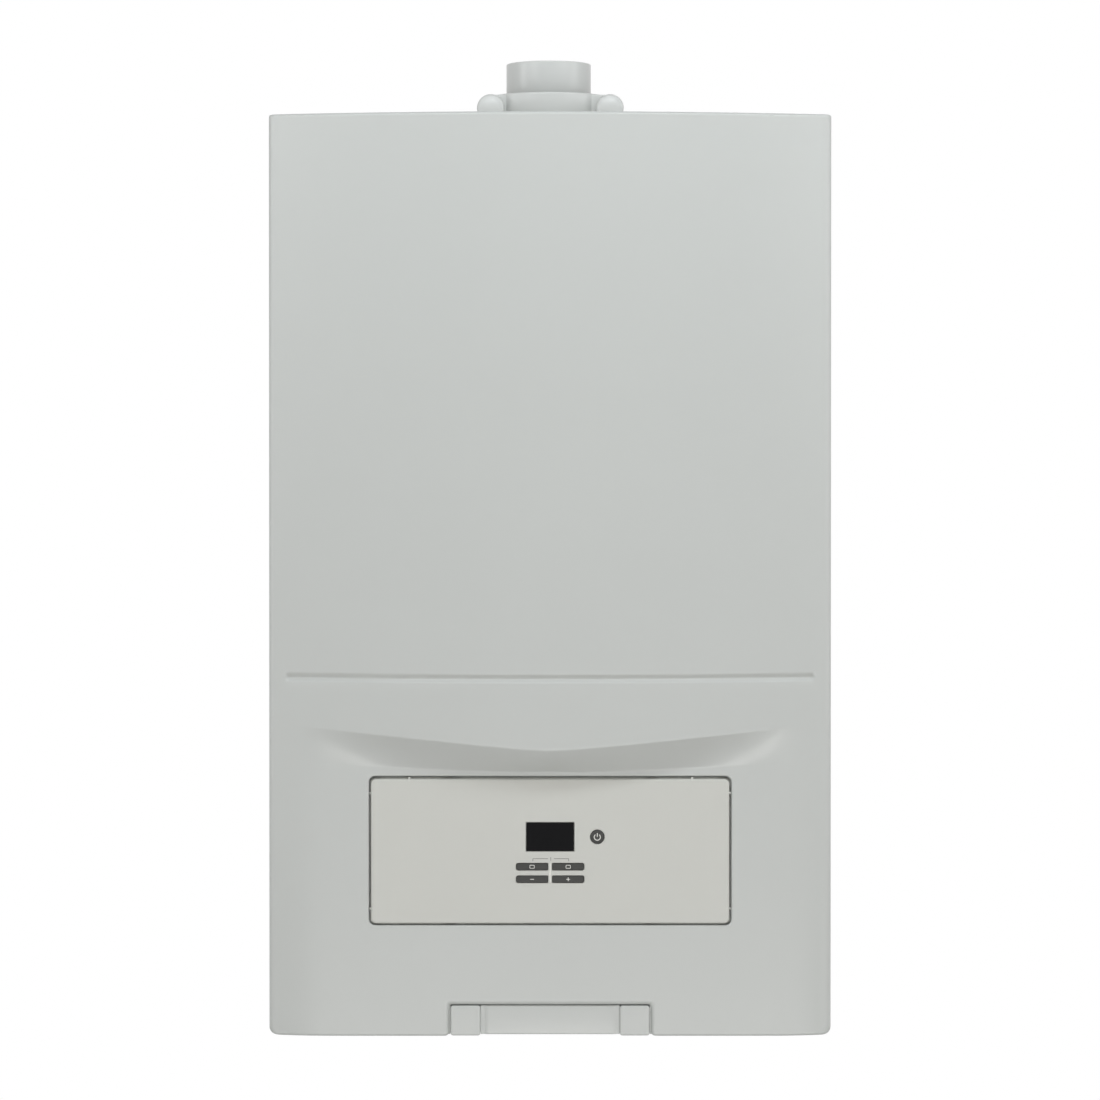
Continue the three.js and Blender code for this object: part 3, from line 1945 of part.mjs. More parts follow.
// ------------------------------------------------------------------ assembly

add("rear_frame", rearFrame(), galvanised);
add("side_panel_left", sidePanel(-1), coverWhite);
add("side_panel_right", sidePanel(1), coverWhite);
add("top_panel", topPanel(), coverWhite);
add("base_plate", basePlate(), galvanised);
add("cross_rail", crossRail(), galvanised);
add("front_cover", frontCover(), coverWhite);
add("latch_bar", latchBar(), coverWhite);
add("release_clip_left", releaseClip(-1), coverWhite);
add("release_clip_right", releaseClip(1), coverWhite);

add("flue_collar", flueCollar(), fluePlastic);
add("flue_tube", flueTube(), fluePlastic);
add("flue_seal", flueSeal(), rubber);
add("test_cap_left", testCap(-1), fluePlastic);
add("test_cap_right", testCap(1), fluePlastic);
add("flue_duct", flueDuct(), fluePlastic);

add("exchanger_housing", exchangerHousing(), castAluminium);
add("exchanger_coil", exchangerCoil(), stainless);
add("burner_tube", burnerTube(), stainless);
add("door_seal", doorSeal(), rubber);
add("burner_door", burnerDoor(), castAluminium);
add("ignition_electrode", ignitionElectrode(), ceramic);
add("burner_manifold", burnerManifold(), castAluminium);
add("fan_housing", fanHousing(), castAluminium);
add("fan_impeller", fanImpeller(), darkPlastic, [fanX, -fanMiddle, fanHeight]);
add("fan_motor", fanMotor(), darkPlastic);
add("venturi", venturi(), darkPlastic);
add("intake_silencer", intakeSilencer(), darkPlastic);
add("gas_valve", gasValve(), castAluminium);
add("gas_pipe", gasPipe(), copper);

for (const [name, x, radius, material] of connections)
  add(name, connection(x, radius), material);
add("pump_housing", pumpHousing(), brass);
add("pump_motor", pumpMotor(), darkPlastic);
add("pump_impeller", pumpImpeller(), darkPlastic, [pumpX, -connectionDepth, pumpHeight]);
add("air_vent", airVent(), brass);
add("safety_valve", safetyValve(), brass);
add("safety_valve_knob", safetyKnob(), redPlastic, [safetyX, safetyFront, pumpHeight]);
add("diverter_valve", diverterValve(), brass);
add("diverter_motor", diverterMotor(), darkPlastic);
add("pressure_sensor", pressureSensor(), brass);
add("plate_heat_exchanger", plateExchanger(), stainless);
add("flow_pipe", flowPipe(), copper);
add("return_pipe", returnPipe(), copper);
add("condensate_siphon", condensateSiphon(), fluePlastic);
add("condensate_hose", condensateHose(), rubber);
add("expansion_vessel", expansionVessel(), redPaint);

add("control_bracket", controlBracket(), galvanised);
add("control_box", controlBox(), darkPlastic);
add("control_fascia", controlFascia(), warmPlastic);
add("circuit_board", circuitBoard(), boardGreen);
add("display", display(), blackGlass);
add("power_button", powerButton(), darkPlastic);
for (const [name, side, row] of keys) add(name, key(side, row), darkPlastic);

casing.position.z = -caseHeight / 2;

const boiler = new THREE.Group();
boiler.add(casing);

export default boiler;
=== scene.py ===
"""Looks for a wall-hung combi boiler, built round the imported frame.

Sizes inside the piece functions are in millimetres, with heights measured from the casing's bottom
edge; put_piece turns them into metres in the frame, whose origin is on the wall at the casing's middle.
x runs to the right seen from the front, y into the wall, z up.
"""

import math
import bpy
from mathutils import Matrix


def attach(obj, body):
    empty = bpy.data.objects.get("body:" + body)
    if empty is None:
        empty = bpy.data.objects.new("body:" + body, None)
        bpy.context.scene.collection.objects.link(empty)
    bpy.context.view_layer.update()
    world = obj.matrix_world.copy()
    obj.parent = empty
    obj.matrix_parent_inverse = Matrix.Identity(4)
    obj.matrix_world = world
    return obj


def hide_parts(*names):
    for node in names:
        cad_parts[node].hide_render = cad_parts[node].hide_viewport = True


bl_info = {
    "name": "Combi boiler looks",
    "version": (1, 0, 0),
    "blender": (4, 0, 0),
    "location": "View3D > Sidebar > Boiler",
    "description": "Builds the visible pieces, finishes and studio of a wall-hung combi boiler",
    "category": "Add Mesh",
}

import bpy
import numpy as np
from bpy.props import FloatProperty, FloatVectorProperty, PointerProperty
from mathutils import Vector
from mathutils.geometry import tessellate_polygon

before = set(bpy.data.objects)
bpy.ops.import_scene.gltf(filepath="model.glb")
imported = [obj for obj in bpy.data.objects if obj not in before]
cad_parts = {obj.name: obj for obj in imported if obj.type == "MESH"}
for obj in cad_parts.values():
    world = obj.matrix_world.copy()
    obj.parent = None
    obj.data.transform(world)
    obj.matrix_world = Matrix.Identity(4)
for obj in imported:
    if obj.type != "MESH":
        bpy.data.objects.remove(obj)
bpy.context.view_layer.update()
MIDDLE = 360.0  # height of the frame's origin above the casing's bottom edge
FLAT_START = 0.15  # a line this far inside a rounded edge keeps the face behind it flat
MERGE = 0.002  # points closer than this many mm become one

# ------------------------------------------------------------------ sizes and colours


def linear(hexa):
    """The linear colour of an sRGB hex value: c / 12.92 below 0.04045, else ((c + 0.055) / 1.055) ** 2.4."""
    parts = np.array([int(hexa[i : i + 2], 16) for i in (0, 2, 4)]) / 255
    low = parts / 12.92
    high = ((parts + 0.055) / 1.055) ** 2.4
    return tuple(float(v) for v in np.where(parts <= 0.04045, low, high)) + (1.0,)


def length(name, text, default):
    return FloatProperty(name=name, description=text, default=default, subtype="DISTANCE", unit="LENGTH")


def colour(name, text, hexa):
    return FloatVectorProperty(
        name=name, description=text, default=linear(hexa), size=4, min=0, max=1, subtype="COLOR"
    )


class BoilerCasingSizes(bpy.types.PropertyGroup):
    sheet: length("Sheet", "Thickness of the front cover's painted sheet", 0.001)
    edge_radius: length("Edge radius", "Radius of the cover's vertical edges and bottom corners", 0.006)
    window_rim: length("Window rim", "Radius of the fold round the fascia's window", 0.001)
    notch_rim: length("Notch rim", "Radius of the fold round the latch's notch", 0.0035)
    groove_depth: length("Groove depth", "Depth of the horizontal groove across the cover", 0.0027)


class BoilerPanelSizes(bpy.types.PropertyGroup):
    fascia_edge: length("Fascia edge", "Radius of the fascia's front edge", 0.0014)
    key_edge: length("Key edge", "Radius of a key's front edge", 0.0005)
    key_corner: length("Key corner", "Radius of a key's outer corners", 0.0014)
    clip_edge: length("Clip edge", "Radius of a release clip's front edge", 0.0013)


class BoilerFinishColours(bpy.types.PropertyGroup):
    cover: colour("Cover", "Powder coat of the casing", "C3C5C2")
    fascia: colour("Fascia", "Moulded fascia of the control box", "C9C9C3")
    flue: colour("Flue", "Moulded flue connection", "D4D5D2")
    key: colour("Keys", "Keys and on/off button", "424240")


class BoilerStudio(bpy.types.PropertyGroup):
    distance: length("Camera distance", "How far the camera stands before the wall", 3.246)
    height: length("Camera height", "Camera above the casing's middle", 0.0955)
    aside: length("Camera aside", "Camera to the left of the casing's middle", 0.0196)
    floor_drop: length("Floor", "How far the floor lies below the casing", 0.75)


# ------------------------------------------------------------------ shapes


def grid_faces(rows, columns, start=0, close_rows=False, close_columns=False):
    """Quads between neighbouring points of a grid whose points are numbered row by row from start."""
    index = np.arange(rows * columns).reshape(rows, columns) + start
    if close_columns:
        index = np.concatenate([index, index[:, :1]], 1)
    if close_rows:
        index = np.concatenate([index, index[:1]], 0)
    return np.stack([index[:-1, :-1], index[:-1, 1:], index[1:, 1:], index[1:, :-1]], -1).reshape(-1, 4)


def facing(points, faces, inside=None):
    """Turns all faces round where they point inwards: by the sign of the volume, which is a sixth of the
    sum of a . (b x c), or, for an open sheet, by the side on which the point inside lies."""
    a, b, c, d = (points[faces[:, i]] for i in range(4))
    if inside is None:
        sign = np.einsum("ij,ij->", a, np.cross(b, c)) + np.einsum("ij,ij->", a, np.cross(c, d))
    else:
        sign = np.einsum("ij,ij->", np.cross(c - a, d - b), a - np.asarray(inside))
    return faces if sign > 0 else faces[:, ::-1]


def put_piece(name, parts, body, material, stands_for=(), smooth=True):
    """Joins parts, each (points in mm, quads), into one mesh: points closer than 0.002 mm become one, quads
    that lost a corner become triangles, and unused points go."""
    points, faces, start = [], [], 0
    for part_points, part_faces in parts:
        points.append(part_points)
        faces.append(part_faces + start)
        start += len(part_points)
    points, faces = np.concatenate(points), np.concatenate(faces)
    key = np.round(points / MERGE).astype(np.int64)
    _, first, inverse = np.unique(key, axis=0, return_index=True, return_inverse=True)
    points, faces = points[first], inverse.reshape(-1)[faces]
    same = faces == np.roll(faces, -1, 1)
    whole = faces[same.sum(1) == 0]
    thin = faces[same.sum(1) == 1]
    gone = np.argmax(thin == np.roll(thin, -1, 1), 1)
    keep = np.ones(thin.shape, bool)
    keep[np.arange(len(thin)), gone] = False
    thin = thin[keep].reshape(-1, 3)
    used, renumber = np.unique(np.concatenate([whole.ravel(), thin.ravel()]), return_inverse=True)
    quads = renumber[: whole.size].reshape(-1, 4)
    triangles = renumber[whole.size :].reshape(-1, 3)
    mesh = bpy.data.meshes.new(name)
    metres = (points[used] - (0, 0, MIDDLE)) / 1000
    mesh.from_pydata(metres.tolist(), [], quads.tolist() + triangles.tolist())
    mesh.polygons.foreach_set("use_smooth", np.full(len(mesh.polygons), smooth))
    mesh.validate()
    mesh.update()
    piece = bpy.data.objects.new(name, mesh)
    bpy.context.scene.collection.objects.link(piece)
    mesh.materials.append(material)
    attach(piece, body)
    if stands_for:
        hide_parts(*stands_for)
    return piece


def thicken(piece, metres):
    """Gives an open sheet its thickness on the inside."""
    wall = piece.modifiers.new("thickness", "SOLIDIFY")
    wall.thickness = metres
    wall.offset = -1
    wall.use_even_offset = True


def rounded_path(corners, steps=5):
    """Corners (a, b, radius) joined by straight lines, with each corner replaced by the arc of that radius
    which touches both lines. Radius 0 keeps the corner. The path is closed."""
    places = np.array([(a, b) for a, b, _ in corners], float)
    out = []
    for i, (_, _, r) in enumerate(corners):
        p, before, after = places[i], places[i - 1], places[(i + 1) % len(corners)]
        if r <= 0:
            out.append(p[None])
            continue
        u = (before - p) / np.linalg.norm(before - p)
        v = (after - p) / np.linalg.norm(after - p)
        half = math.acos(float(np.clip(u @ v, -1, 1))) / 2
        centre = p + (u + v) / np.linalg.norm(u + v) * (r / math.sin(half))
        start, end = p + u * r / math.tan(half) - centre, p + v * r / math.tan(half) - centre
        t = np.linspace(0, 1, steps + 1)[:, None]
        sweep = math.pi - 2 * half
        arc = (np.sin((1 - t) * sweep) * start + np.sin(t * sweep) * end) / math.sin(sweep)
        out.append(centre + arc)
    return np.concatenate(out)


def turned(profile, centre, axis="z", sides=96):
    """A closed profile of (radius, height) turned about an axis: point = centre + (r cos a, r sin a, h)."""
    profile = np.asarray(profile, float)
    a = np.linspace(0, 2 * math.pi, sides, endpoint=False)[None, :]
    r, h = profile[:, :1], profile[:, 1:2] + 0 * a
    u, v = r * np.cos(a), r * np.sin(a)
    order = {"z": (u, v, h), "y": (u, h, v), "x": (h, u, v)}[axis]
    points = np.stack(order, -1).reshape(-1, 3) + np.asarray(centre, float)
    faces = grid_faces(len(profile), sides, close_rows=True, close_columns=True)
    return points, facing(points, faces)


def ring_of(half_w, half_h, radii, inset=0.0, steps=6):
    """A rectangle with round corners drawn in by inset: each corner's radius shrinks with it. radii run
    from the upper right corner round to the left."""
    w, h = half_w - inset, half_h - inset
    signs = ((1, 1), (-1, 1), (-1, -1), (1, -1))
    t = np.linspace(0, math.pi / 2, steps + 1)
    out = []
    for k, ((sx, sz), radius) in enumerate(zip(signs, radii)):
        r = max(radius - inset, 0.02)
        a = t + k * math.pi / 2
        out.append(np.stack([sx * (w - r) + r * np.cos(a), sz * (h - r) + r * np.sin(a)], -1))
    return np.concatenate(out)


def stacked(rings, depths):
    """The points of rings given as (x, z), each ring placed at its own y, ring after ring."""
    return np.concatenate(
        [np.stack([ring[:, 0], np.full(len(ring), y), ring[:, 1]], -1) for ring, y in zip(rings, depths)]
    )


def slab(half_w, half_h, radii, edge, centre, front, back, crown=0.0, back_edge=0.0):
    """A plate seen from the front: rings of a rounded rectangle from the back, round the front edge by an
    arc of radius edge, and in to the middle, where the face stands proud by crown * (1 - share ** 2)."""
    arc = np.linspace(0, math.pi / 2, 6)
    rows = [(0.0, back)] if back_edge <= 0 else [
        (back_edge * (1 - math.sin(a)), back - back_edge * (1 - math.cos(a))) for a in arc[:-1]
    ] + [(0.0, back - back_edge)]
    rows += [(edge * (1 - math.cos(a)), front + edge * (1 - math.sin(a))) for a in arc]
    rows += [(edge + FLAT_START, front)]
    small = min(half_w, half_h)
    inner = np.linspace(edge + FLAT_START, small, 8)[1:-1]
    rows += [(i, front - crown * (1 - (1 - (i - edge) / (small - edge)) ** 2)) for i in inner]
    rings = [ring_of(half_w, half_h, radii, i) for i, _ in rows]
    steps = len(rings[0])
    points = stacked(rings, [y for _, y in rows])
    faces = [grid_faces(len(rows), steps, close_columns=True)]
    middle = np.array([[0, rows[-1][1], 0], [0, back, 0]], float)
    first = np.arange(steps)
    last = first + (len(rows) - 1) * steps
    hub_front, hub_back = np.full(steps, len(points)), np.full(steps, len(points) + 1)
    faces.append(np.stack([last, np.roll(last, -1), hub_front, hub_front], -1))
    faces.append(np.stack([np.roll(first, -1), first, hub_back, hub_back], -1))
    points = np.concatenate([points, middle]) + (centre[0], 0, centre[1])
    faces = np.concatenate(faces)
    return points, facing(points, faces)


def moved(part, by):
    return part[0] + np.asarray(by, float), part[1]


# ------------------------------------------------------------------ nodes and finishes


def add_node(tree, kind, options=None, inputs=None):
    """Adds one node: options are set on it, and inputs are given a value or joined to another's output."""
    made = tree.nodes.new(kind)
    for name, value in (options or {}).items():
        setattr(made, name, value)
    for key, value in (inputs or {}).items():
        if isinstance(value, bpy.types.NodeSocket):
            tree.links.new(value, made.inputs[key])
        else:
            made.inputs[key].default_value = value
    return made


def new_finish(name):
    """An empty material with its shader, its output and the place in metres that patterns read."""
    material = bpy.data.materials.new(name)
    material.use_nodes = True
    tree = material.node_tree
    tree.nodes.clear()
    shader = add_node(tree, "ShaderNodeBsdfPrincipled")
    add_node(tree, "ShaderNodeOutputMaterial", inputs={"Surface": shader.outputs[0]})
    place = add_node(tree, "ShaderNodeTexCoord").outputs["Object"]
    return material, tree, shader, place


def shade(base, factor):
    return tuple(min(c * factor, 1.0) for c in base[:3]) + (1.0,)


def mottled(tree, place, scale, low, high, detail=2.0):
    """Noise of the given size, spread between two colours."""
    noise = add_node(
        tree,
        "ShaderNodeTexNoise",
        inputs={"Vector": place, "Scale": scale, "Detail": detail, "Roughness": 0.55},
    )
    mix = add_node(tree, "ShaderNodeMix", {"data_type": "RGBA"}, {0: noise.outputs["Fac"]})
    mix.inputs[6].default_value = low
    mix.inputs[7].default_value = high
    return noise, mix.outputs[2]


def spread(tree, value, low, high):
    """A 0-1 value between low and high."""
    return add_node(tree, "ShaderNodeMapRange", inputs={"Value": value, 3: low, 4: high}).outputs[0]


def bumped(tree, shader, height, distance, strength):
    """Gives the surface a relief of the given height in metres."""
    bump = add_node(
        tree, "ShaderNodeBump", inputs={"Height": height, "Distance": distance, "Strength": strength}
    )
    tree.links.new(bump.outputs[0], shader.inputs["Normal"])


def powder_coat(name, base):
    """Polyester powder coat on steel, sprayed and baked: an even satin skin with a faint orange peel of
    1.5 mm, and a shade that drifts by one part in a hundred."""
    material, tree, shader, place = new_finish(name)
    _, tone = mottled(tree, place, 9.0, shade(base, 0.985), shade(base, 1.012))
    tree.links.new(tone, shader.inputs["Base Color"])
    peel = add_node(tree, "ShaderNodeTexNoise", inputs={"Vector": place, "Scale": 640.0, "Detail": 1.5})
    fine = add_node(tree, "ShaderNodeTexNoise", inputs={"Vector": place, "Scale": 60.0, "Detail": 2.0})
    tree.links.new(spread(tree, fine.outputs["Fac"], 0.28, 0.33), shader.inputs["Roughness"])
    bumped(tree, shader, peel.outputs["Fac"], 0.00005, 0.3)
    shader.inputs["IOR"].default_value = 1.5
    shader.inputs["Specular IOR Level"].default_value = 0.5
    return material


def moulded_plastic(name, base, roughness, grain=1400.0, depth=0.00004, tone=0.02, gloss=0.5):
    """Injection-moulded plastic from a spark-eroded tool: a matt grain, 0.7 mm wide at a scale of 1400 per
    metre, with slightly uneven gloss."""
    material, tree, shader, place = new_finish(name)
    _, mix = mottled(tree, place, 14.0, shade(base, 1 - tone), shade(base, 1 + tone / 2))
    tree.links.new(mix, shader.inputs["Base Color"])
    noise = add_node(tree, "ShaderNodeTexNoise", inputs={"Vector": place, "Scale": grain, "Detail": 2.0})
    tree.links.new(
        spread(tree, noise.outputs["Fac"], roughness - 0.04, roughness + 0.04), shader.inputs["Roughness"]
    )
    bumped(tree, shader, noise.outputs["Fac"], depth, 0.35)
    shader.inputs["IOR"].default_value = 1.52
    shader.inputs["Specular IOR Level"].default_value = gloss
    return material


def window_glass(name):
    """Black-tinted acrylic over an unlit display: deep black with a polished face that mirrors softly."""
    material, tree, shader, place = new_finish(name)
    _, mix = mottled(tree, place, 120.0, linear("0B0B0D"), linear("0F0F11"))
    tree.links.new(mix, shader.inputs["Base Color"])
    smear = add_node(tree, "ShaderNodeTexNoise", inputs={"Vector": place, "Scale": 70.0, "Detail": 3.0})
    tree.links.new(spread(tree, smear.outputs["Fac"], 0.14, 0.24), shader.inputs["Roughness"])
    shader.inputs["IOR"].default_value = 1.49
    shader.inputs["Specular IOR Level"].default_value = 0.1
    return material


def metal(name, low, high, roughness, size, depth, squeeze=(1, 1, 1)):
    """A bare metal: cast grain, or brush lines where the pattern is squeezed across one direction."""
    material, tree, shader, place = new_finish(name)
    turned_place = add_node(tree, "ShaderNodeMapping", inputs={"Vector": place, "Scale": squeeze}).outputs[0]
    noise, mix = mottled(tree, turned_place, size, linear(low), linear(high), 3.0)
    tree.links.new(mix, shader.inputs["Base Color"])
    tree.links.new(
        spread(tree, noise.outputs["Fac"], roughness - 0.1, roughness + 0.1), shader.inputs["Roughness"]
    )
    bumped(tree, shader, noise.outputs["Fac"], depth, 0.4)
    shader.inputs["Metallic"].default_value = 1.0
    return material


def galvanised_sheet(name):
    """Hot-dip galvanised steel: a matt zinc skin broken into spangles about 9 mm across, each with its
    own grey and its own gloss."""
    material, tree, shader, place = new_finish(name)
    cells = add_node(
        tree, "ShaderNodeTexVoronoi", {"feature": "F1"}, {"Vector": place, "Scale": 110.0, "Randomness": 1.0}
    )
    grey = add_node(tree, "ShaderNodeSeparateColor", inputs={0: cells.outputs["Color"]}).outputs[0]
    mix = add_node(tree, "ShaderNodeMix", {"data_type": "RGBA"}, {0: grey})
    mix.inputs[6].default_value = linear("9DA1A3")
    mix.inputs[7].default_value = linear("BCC0C2")
    tree.links.new(mix.outputs[2], shader.inputs["Base Color"])
    tree.links.new(spread(tree, grey, 0.42, 0.6), shader.inputs["Roughness"])
    edge = add_node(
        tree, "ShaderNodeTexVoronoi", {"feature": "DISTANCE_TO_EDGE"}, {"Vector": place, "Scale": 110.0}
    )
    bumped(tree, shader, edge.outputs["Distance"], 0.00004, 0.3)
    shader.inputs["Metallic"].default_value = 0.85
    return material


def circuit_laminate(name):
    """Glass-fibre laminate under green solder mask: tracks show as a paler net with meshes of 5 mm."""
    material, tree, shader, place = new_finish(name)
    brick = add_node(
        tree,
        "ShaderNodeTexBrick",
        inputs={"Vector": place, "Scale": 90.0, "Mortar Size": 0.06, "Row Height": 0.4},
    )
    brick.inputs["Color1"].default_value = linear("22633A")
    brick.inputs["Color2"].default_value = linear("1E5833")
    brick.inputs["Mortar"].default_value = linear("3B8253")
    tree.links.new(brick.outputs["Color"], shader.inputs["Base Color"])
    bumped(tree, shader, brick.outputs["Fac"], 0.0001, 0.4)
    shader.inputs["Roughness"].default_value = 0.35
    return material


def finishes():
    """Every finish: the name of its material, what makes it, and the settings that go to the maker."""
    colours = bpy.context.scene.boiler_colours
    dark, rubber, red = linear("35363A"), linear("242425"), linear("B3211C")
    return {
        "powder_coat": ("powder_coated_steel", powder_coat, colours.cover),
        "fascia_abs": ("moulded_abs_fascia", moulded_plastic, colours.fascia, 0.5),
        "flue_pp": ("moulded_polypropylene_flue", moulded_plastic, colours.flue, 0.3, 900.0, 0.00001),
        "dark_abs": ("moulded_abs_dark", moulded_plastic, dark, 0.55),
        "key_abs": ("moulded_abs_keys", moulded_plastic, colours.key, 0.5, 2200.0, 0.00002, 0.02, 0.25),
        "print_light": ("printed_light_ink", moulded_plastic, linear("E6E5DF"), 0.5, 3000.0, 0.00001),
        "print_grey": ("printed_grey_ink", moulded_plastic, linear("72726E"), 0.5, 3000.0, 0.00001),
        "window": ("tinted_acrylic_window", window_glass),
        "zinc": ("galvanised_steel_sheet", galvanised_sheet),
        "cast": ("cast_aluminium", metal, "9EA0A1", "B6B8B8", 0.5, 900.0, 0.00012),
        "stainless": ("brushed_stainless", metal, "B2B5B6", "C6C9CA", 0.3, 260.0, 0.00003, (1, 1, 14)),
        "copper": ("drawn_copper_tube", metal, "B26A42", "C98257", 0.33, 160.0, 0.00003, (3, 3, 1)),
        "brass": ("forged_brass", metal, "AE9150", "C2A761", 0.36, 500.0, 0.00006),
        "screw": ("zinc_plated_screw", metal, "A8ABAC", "C2C5C6", 0.3, 700.0, 0.00002),
        "rubber": ("moulded_epdm_rubber", moulded_plastic, rubber, 0.75, 700.0, 0.00008, 0.06),
        "red_abs": ("moulded_abs_red", moulded_plastic, red, 0.4),
        "red_enamel": ("stoved_red_enamel", powder_coat, linear("A52A22")),
        "laminate": ("green_circuit_laminate", circuit_laminate),
        "ceramic": ("glazed_alumina", moulded_plastic, linear("E8E4DA"), 0.25, 500.0, 0.00002),
    }


def finish_of(key):
    """The finish of that key, made when it is first asked for."""
    name, make, *settings = finishes()[key]
    return bpy.data.materials.get(name) or make(name, *settings)


# ------------------------------------------------------------------ front cover

HALF = 220.0
TOP = 720.0
SIDE_BACK = 266.3  # the cover's sides end this far from the wall
FLAT = 316.5  # the flat lower front
WINDOW = (141.6, 86.6, 203.3, 5.0)  # half width, bottom, top, corner
NOTCH = (78.6, 24.3, 2.2)  # half width, top, corner
GROOVE = (280.1, 208.0)  # height of its deepest line, half length
GROOVE_DOWN, GROOVE_UP = 3.0, 3.6  # how far the groove reaches below and above that line
BOW_MIDDLE, BOW_FALL = 338.0, 29.0  # the bowed front in its middle, and how far it falls back at the sides
SMILE_LOW = 225.2  # the smile's upper line in the middle
SMILE_BEND = 28.6  # how wide that line's bend is
SMILE_SIDE = 165.0  # where the slope below the line has its side form
SLOPE = (18.0, 9.0)  # the slope's height in the middle, and what it gains towards the sides
STEP_SOFT = 2.2  # softness of the change between the bowed and the flat front
STEP_FADE = 14.0  # the flat part fades out over this length
SQUEEZE_FROM = 180.0  # columns beyond this move in where the hood's width shrinks
RIM_SHARES = np.array([0, 0.12, 0.3, 0.6, 1, 1.5])  # lines on the window's fold, as shares of its radius
NOTCH_SHARES = np.array([0, 0.05, 0.13, 0.25, 0.42, 0.65, 1, 1.2])  # and on the notch's
WINDOW_ROOM = np.array([3, 5, 7.5, 10])  # lines outside the window's fold
CORNER_LINES = np.array([1, 2, 3, 4, 5])  # lines inside the window, where its corners are round
NOTCH_LINES = np.array([0.7, 1.4, 2.2])  # and inside the notch
WINDOW_BAND, NOTCH_BAND = 10.0, 8.0  # how far the round corners reach out


def bowed(x):
    """The upper front falls back from 338 mm by 29 mm at the sides, with the square of x."""
    return BOW_MIDDLE - BOW_FALL * (np.minimum(np.abs(x), HALF) / HALF) ** 2


def smile_top(x):
    """The smile's upper line: 225.2 mm high in the middle, then rising 1 in 10: sqrt(x^2 + 28.6^2) / 10."""
    return SMILE_LOW + (np.sqrt(np.minimum(np.abs(x), GROOVE[1]) ** 2 + SMILE_BEND**2) - SMILE_BEND) / 10


def lower(x):
    """The flat lower front where the bowed one would stand proud of it: min(a, b) with a soft change, which
    is (a + b - sqrt((a - b) ** 2 + k ** 2)) / 2 with k = 2.2 mm, so that the step dies away past its ends."""
    gap = bowed(x) - FLAT
    ends = np.clip((GROOVE[1] - np.abs(x)) / STEP_FADE, 0, 1)
    return bowed(x) + ends * ((FLAT - bowed(x) - np.sqrt(gap**2 + STEP_SOFT**2)) / 2)


def smile_foot(x):
    """The slope's lower end: 18 mm below its upper line in the middle, 27 mm below it at the sides."""
    return smile_top(x) - SLOPE[0] - SLOPE[1] * np.minimum(np.abs(x) / SMILE_SIDE, 1)


def crisp_depth(x, z):
    """Distance of the front from the wall, with sharp edges: the bowed upper front, the slope between the
    smile's two lines, and the flat below. Down the slope the front falls by s + k s (1 - s), where k makes it
    steeper towards its foot in the middle (k = -0.65) and towards its upper line at the sides (k = 0.8)."""
    up, low, top, foot = bowed(x), lower(x), smile_top(x), smile_foot(x)
    s = np.clip((top - z) / (top - foot), 0, 1)
    k = 1.45 * np.clip(np.abs(x) / SMILE_SIDE, 0, 1) ** 1.1 - 0.65
    fall = s + k * s * (1 - s)
    fade = np.clip((GROOVE[1] - np.abs(x)) / 4, 0, 1)
    depth = 1000 * bpy.context.scene.boiler_casing.groove_depth
    above = z - GROOVE[0]
    v = np.clip(np.minimum((above + GROOVE_DOWN) / GROOVE_DOWN, (GROOVE_UP - above) / GROOVE_UP), 0, 1)
    return up - (up - low) * fall - depth * v * fade * fade * (3 - 2 * fade)


def front_depth(x, z):
    """The same with every crease rounded: the mean over a band of 2 mm in height."""
    offsets = np.linspace(-1, 1, 11)
    return np.mean([crisp_depth(x, z + o) for o in offsets], 0)


def lines(base, fixed, apart):
    """Fixed lines, and those of the even ones that lie further than apart from each of them."""
    fixed = np.unique(np.round(fixed, 4))
    base = base[np.min(np.abs(base[:, None] - fixed[None, :]), 1) > apart]
    return np.unique(np.concatenate([base, fixed]))


def cut_corners(x, z, half, low, high, radius, band):
    """Turns the square corners of a rectangular opening into arcs. A point at distance d outside it lies on a
    rectangle larger by d; there the corner square, radius * (1 - d / band) wide, is mapped to a quarter disc
    by (p, q) -> (p sqrt(1 - q^2 / 2), q sqrt(1 - p^2 / 2)). Returns the moved points and d."""
    side = np.sign(x)
    u = np.abs(x)
    middle = (low + high) / 2
    up = np.sign(z - middle)
    w = np.abs(z - middle)
    reach = (high - low) / 2
    d = np.maximum(u - half, w - reach)
    rho = np.maximum(radius * (1 - np.clip(d, 0, None) / band), 1e-6)
    p = (u - (half + d - rho)) / rho
    q = (w - (reach + d - rho)) / rho
    corner = (p > 0) & (q > 0) & (d > -1e-9) & (d < band)
    new_u = np.where(corner, half + d - rho + rho * p * np.sqrt(np.clip(1 - q**2 / 2, 0, 1)), u)
    new_w = np.where(corner, reach + d - rho + rho * q * np.sqrt(np.clip(1 - p**2 / 2, 0, 1)), w)
    return side * new_u, middle + up * new_w, d


def fold(d, r):
    """How far a rounded edge of radius r falls back at distance d from its end: r - sqrt(r^2 - (r - d)^2)."""
    t = np.clip(r - d, 0, r)
    return r - np.sqrt(np.maximum(r * r - t * t, 0))


def hood_columns(window_rim, notch_rim):
    """Columns across the front, from -214 to 214, with lines on the openings' edges and folds."""
    rim, wide = window_rim * RIM_SHARES, notch_rim * NOTCH_SHARES
    right = np.concatenate(
        [
            WINDOW[0] + rim,
            WINDOW[0] + WINDOW_ROOM,
            WINDOW[0] - CORNER_LINES,
            NOTCH[0] + wide,
            NOTCH[0] - NOTCH_LINES,
            [180, 186, 189.4, 193, 203, 204, 205, 206, 207, 208, 209, 211, 214],
        ]
    )
    fixed = np.concatenate([right, -right, [0]])
    return lines(np.arange(-210, 211, 5.0), fixed, 1.4)


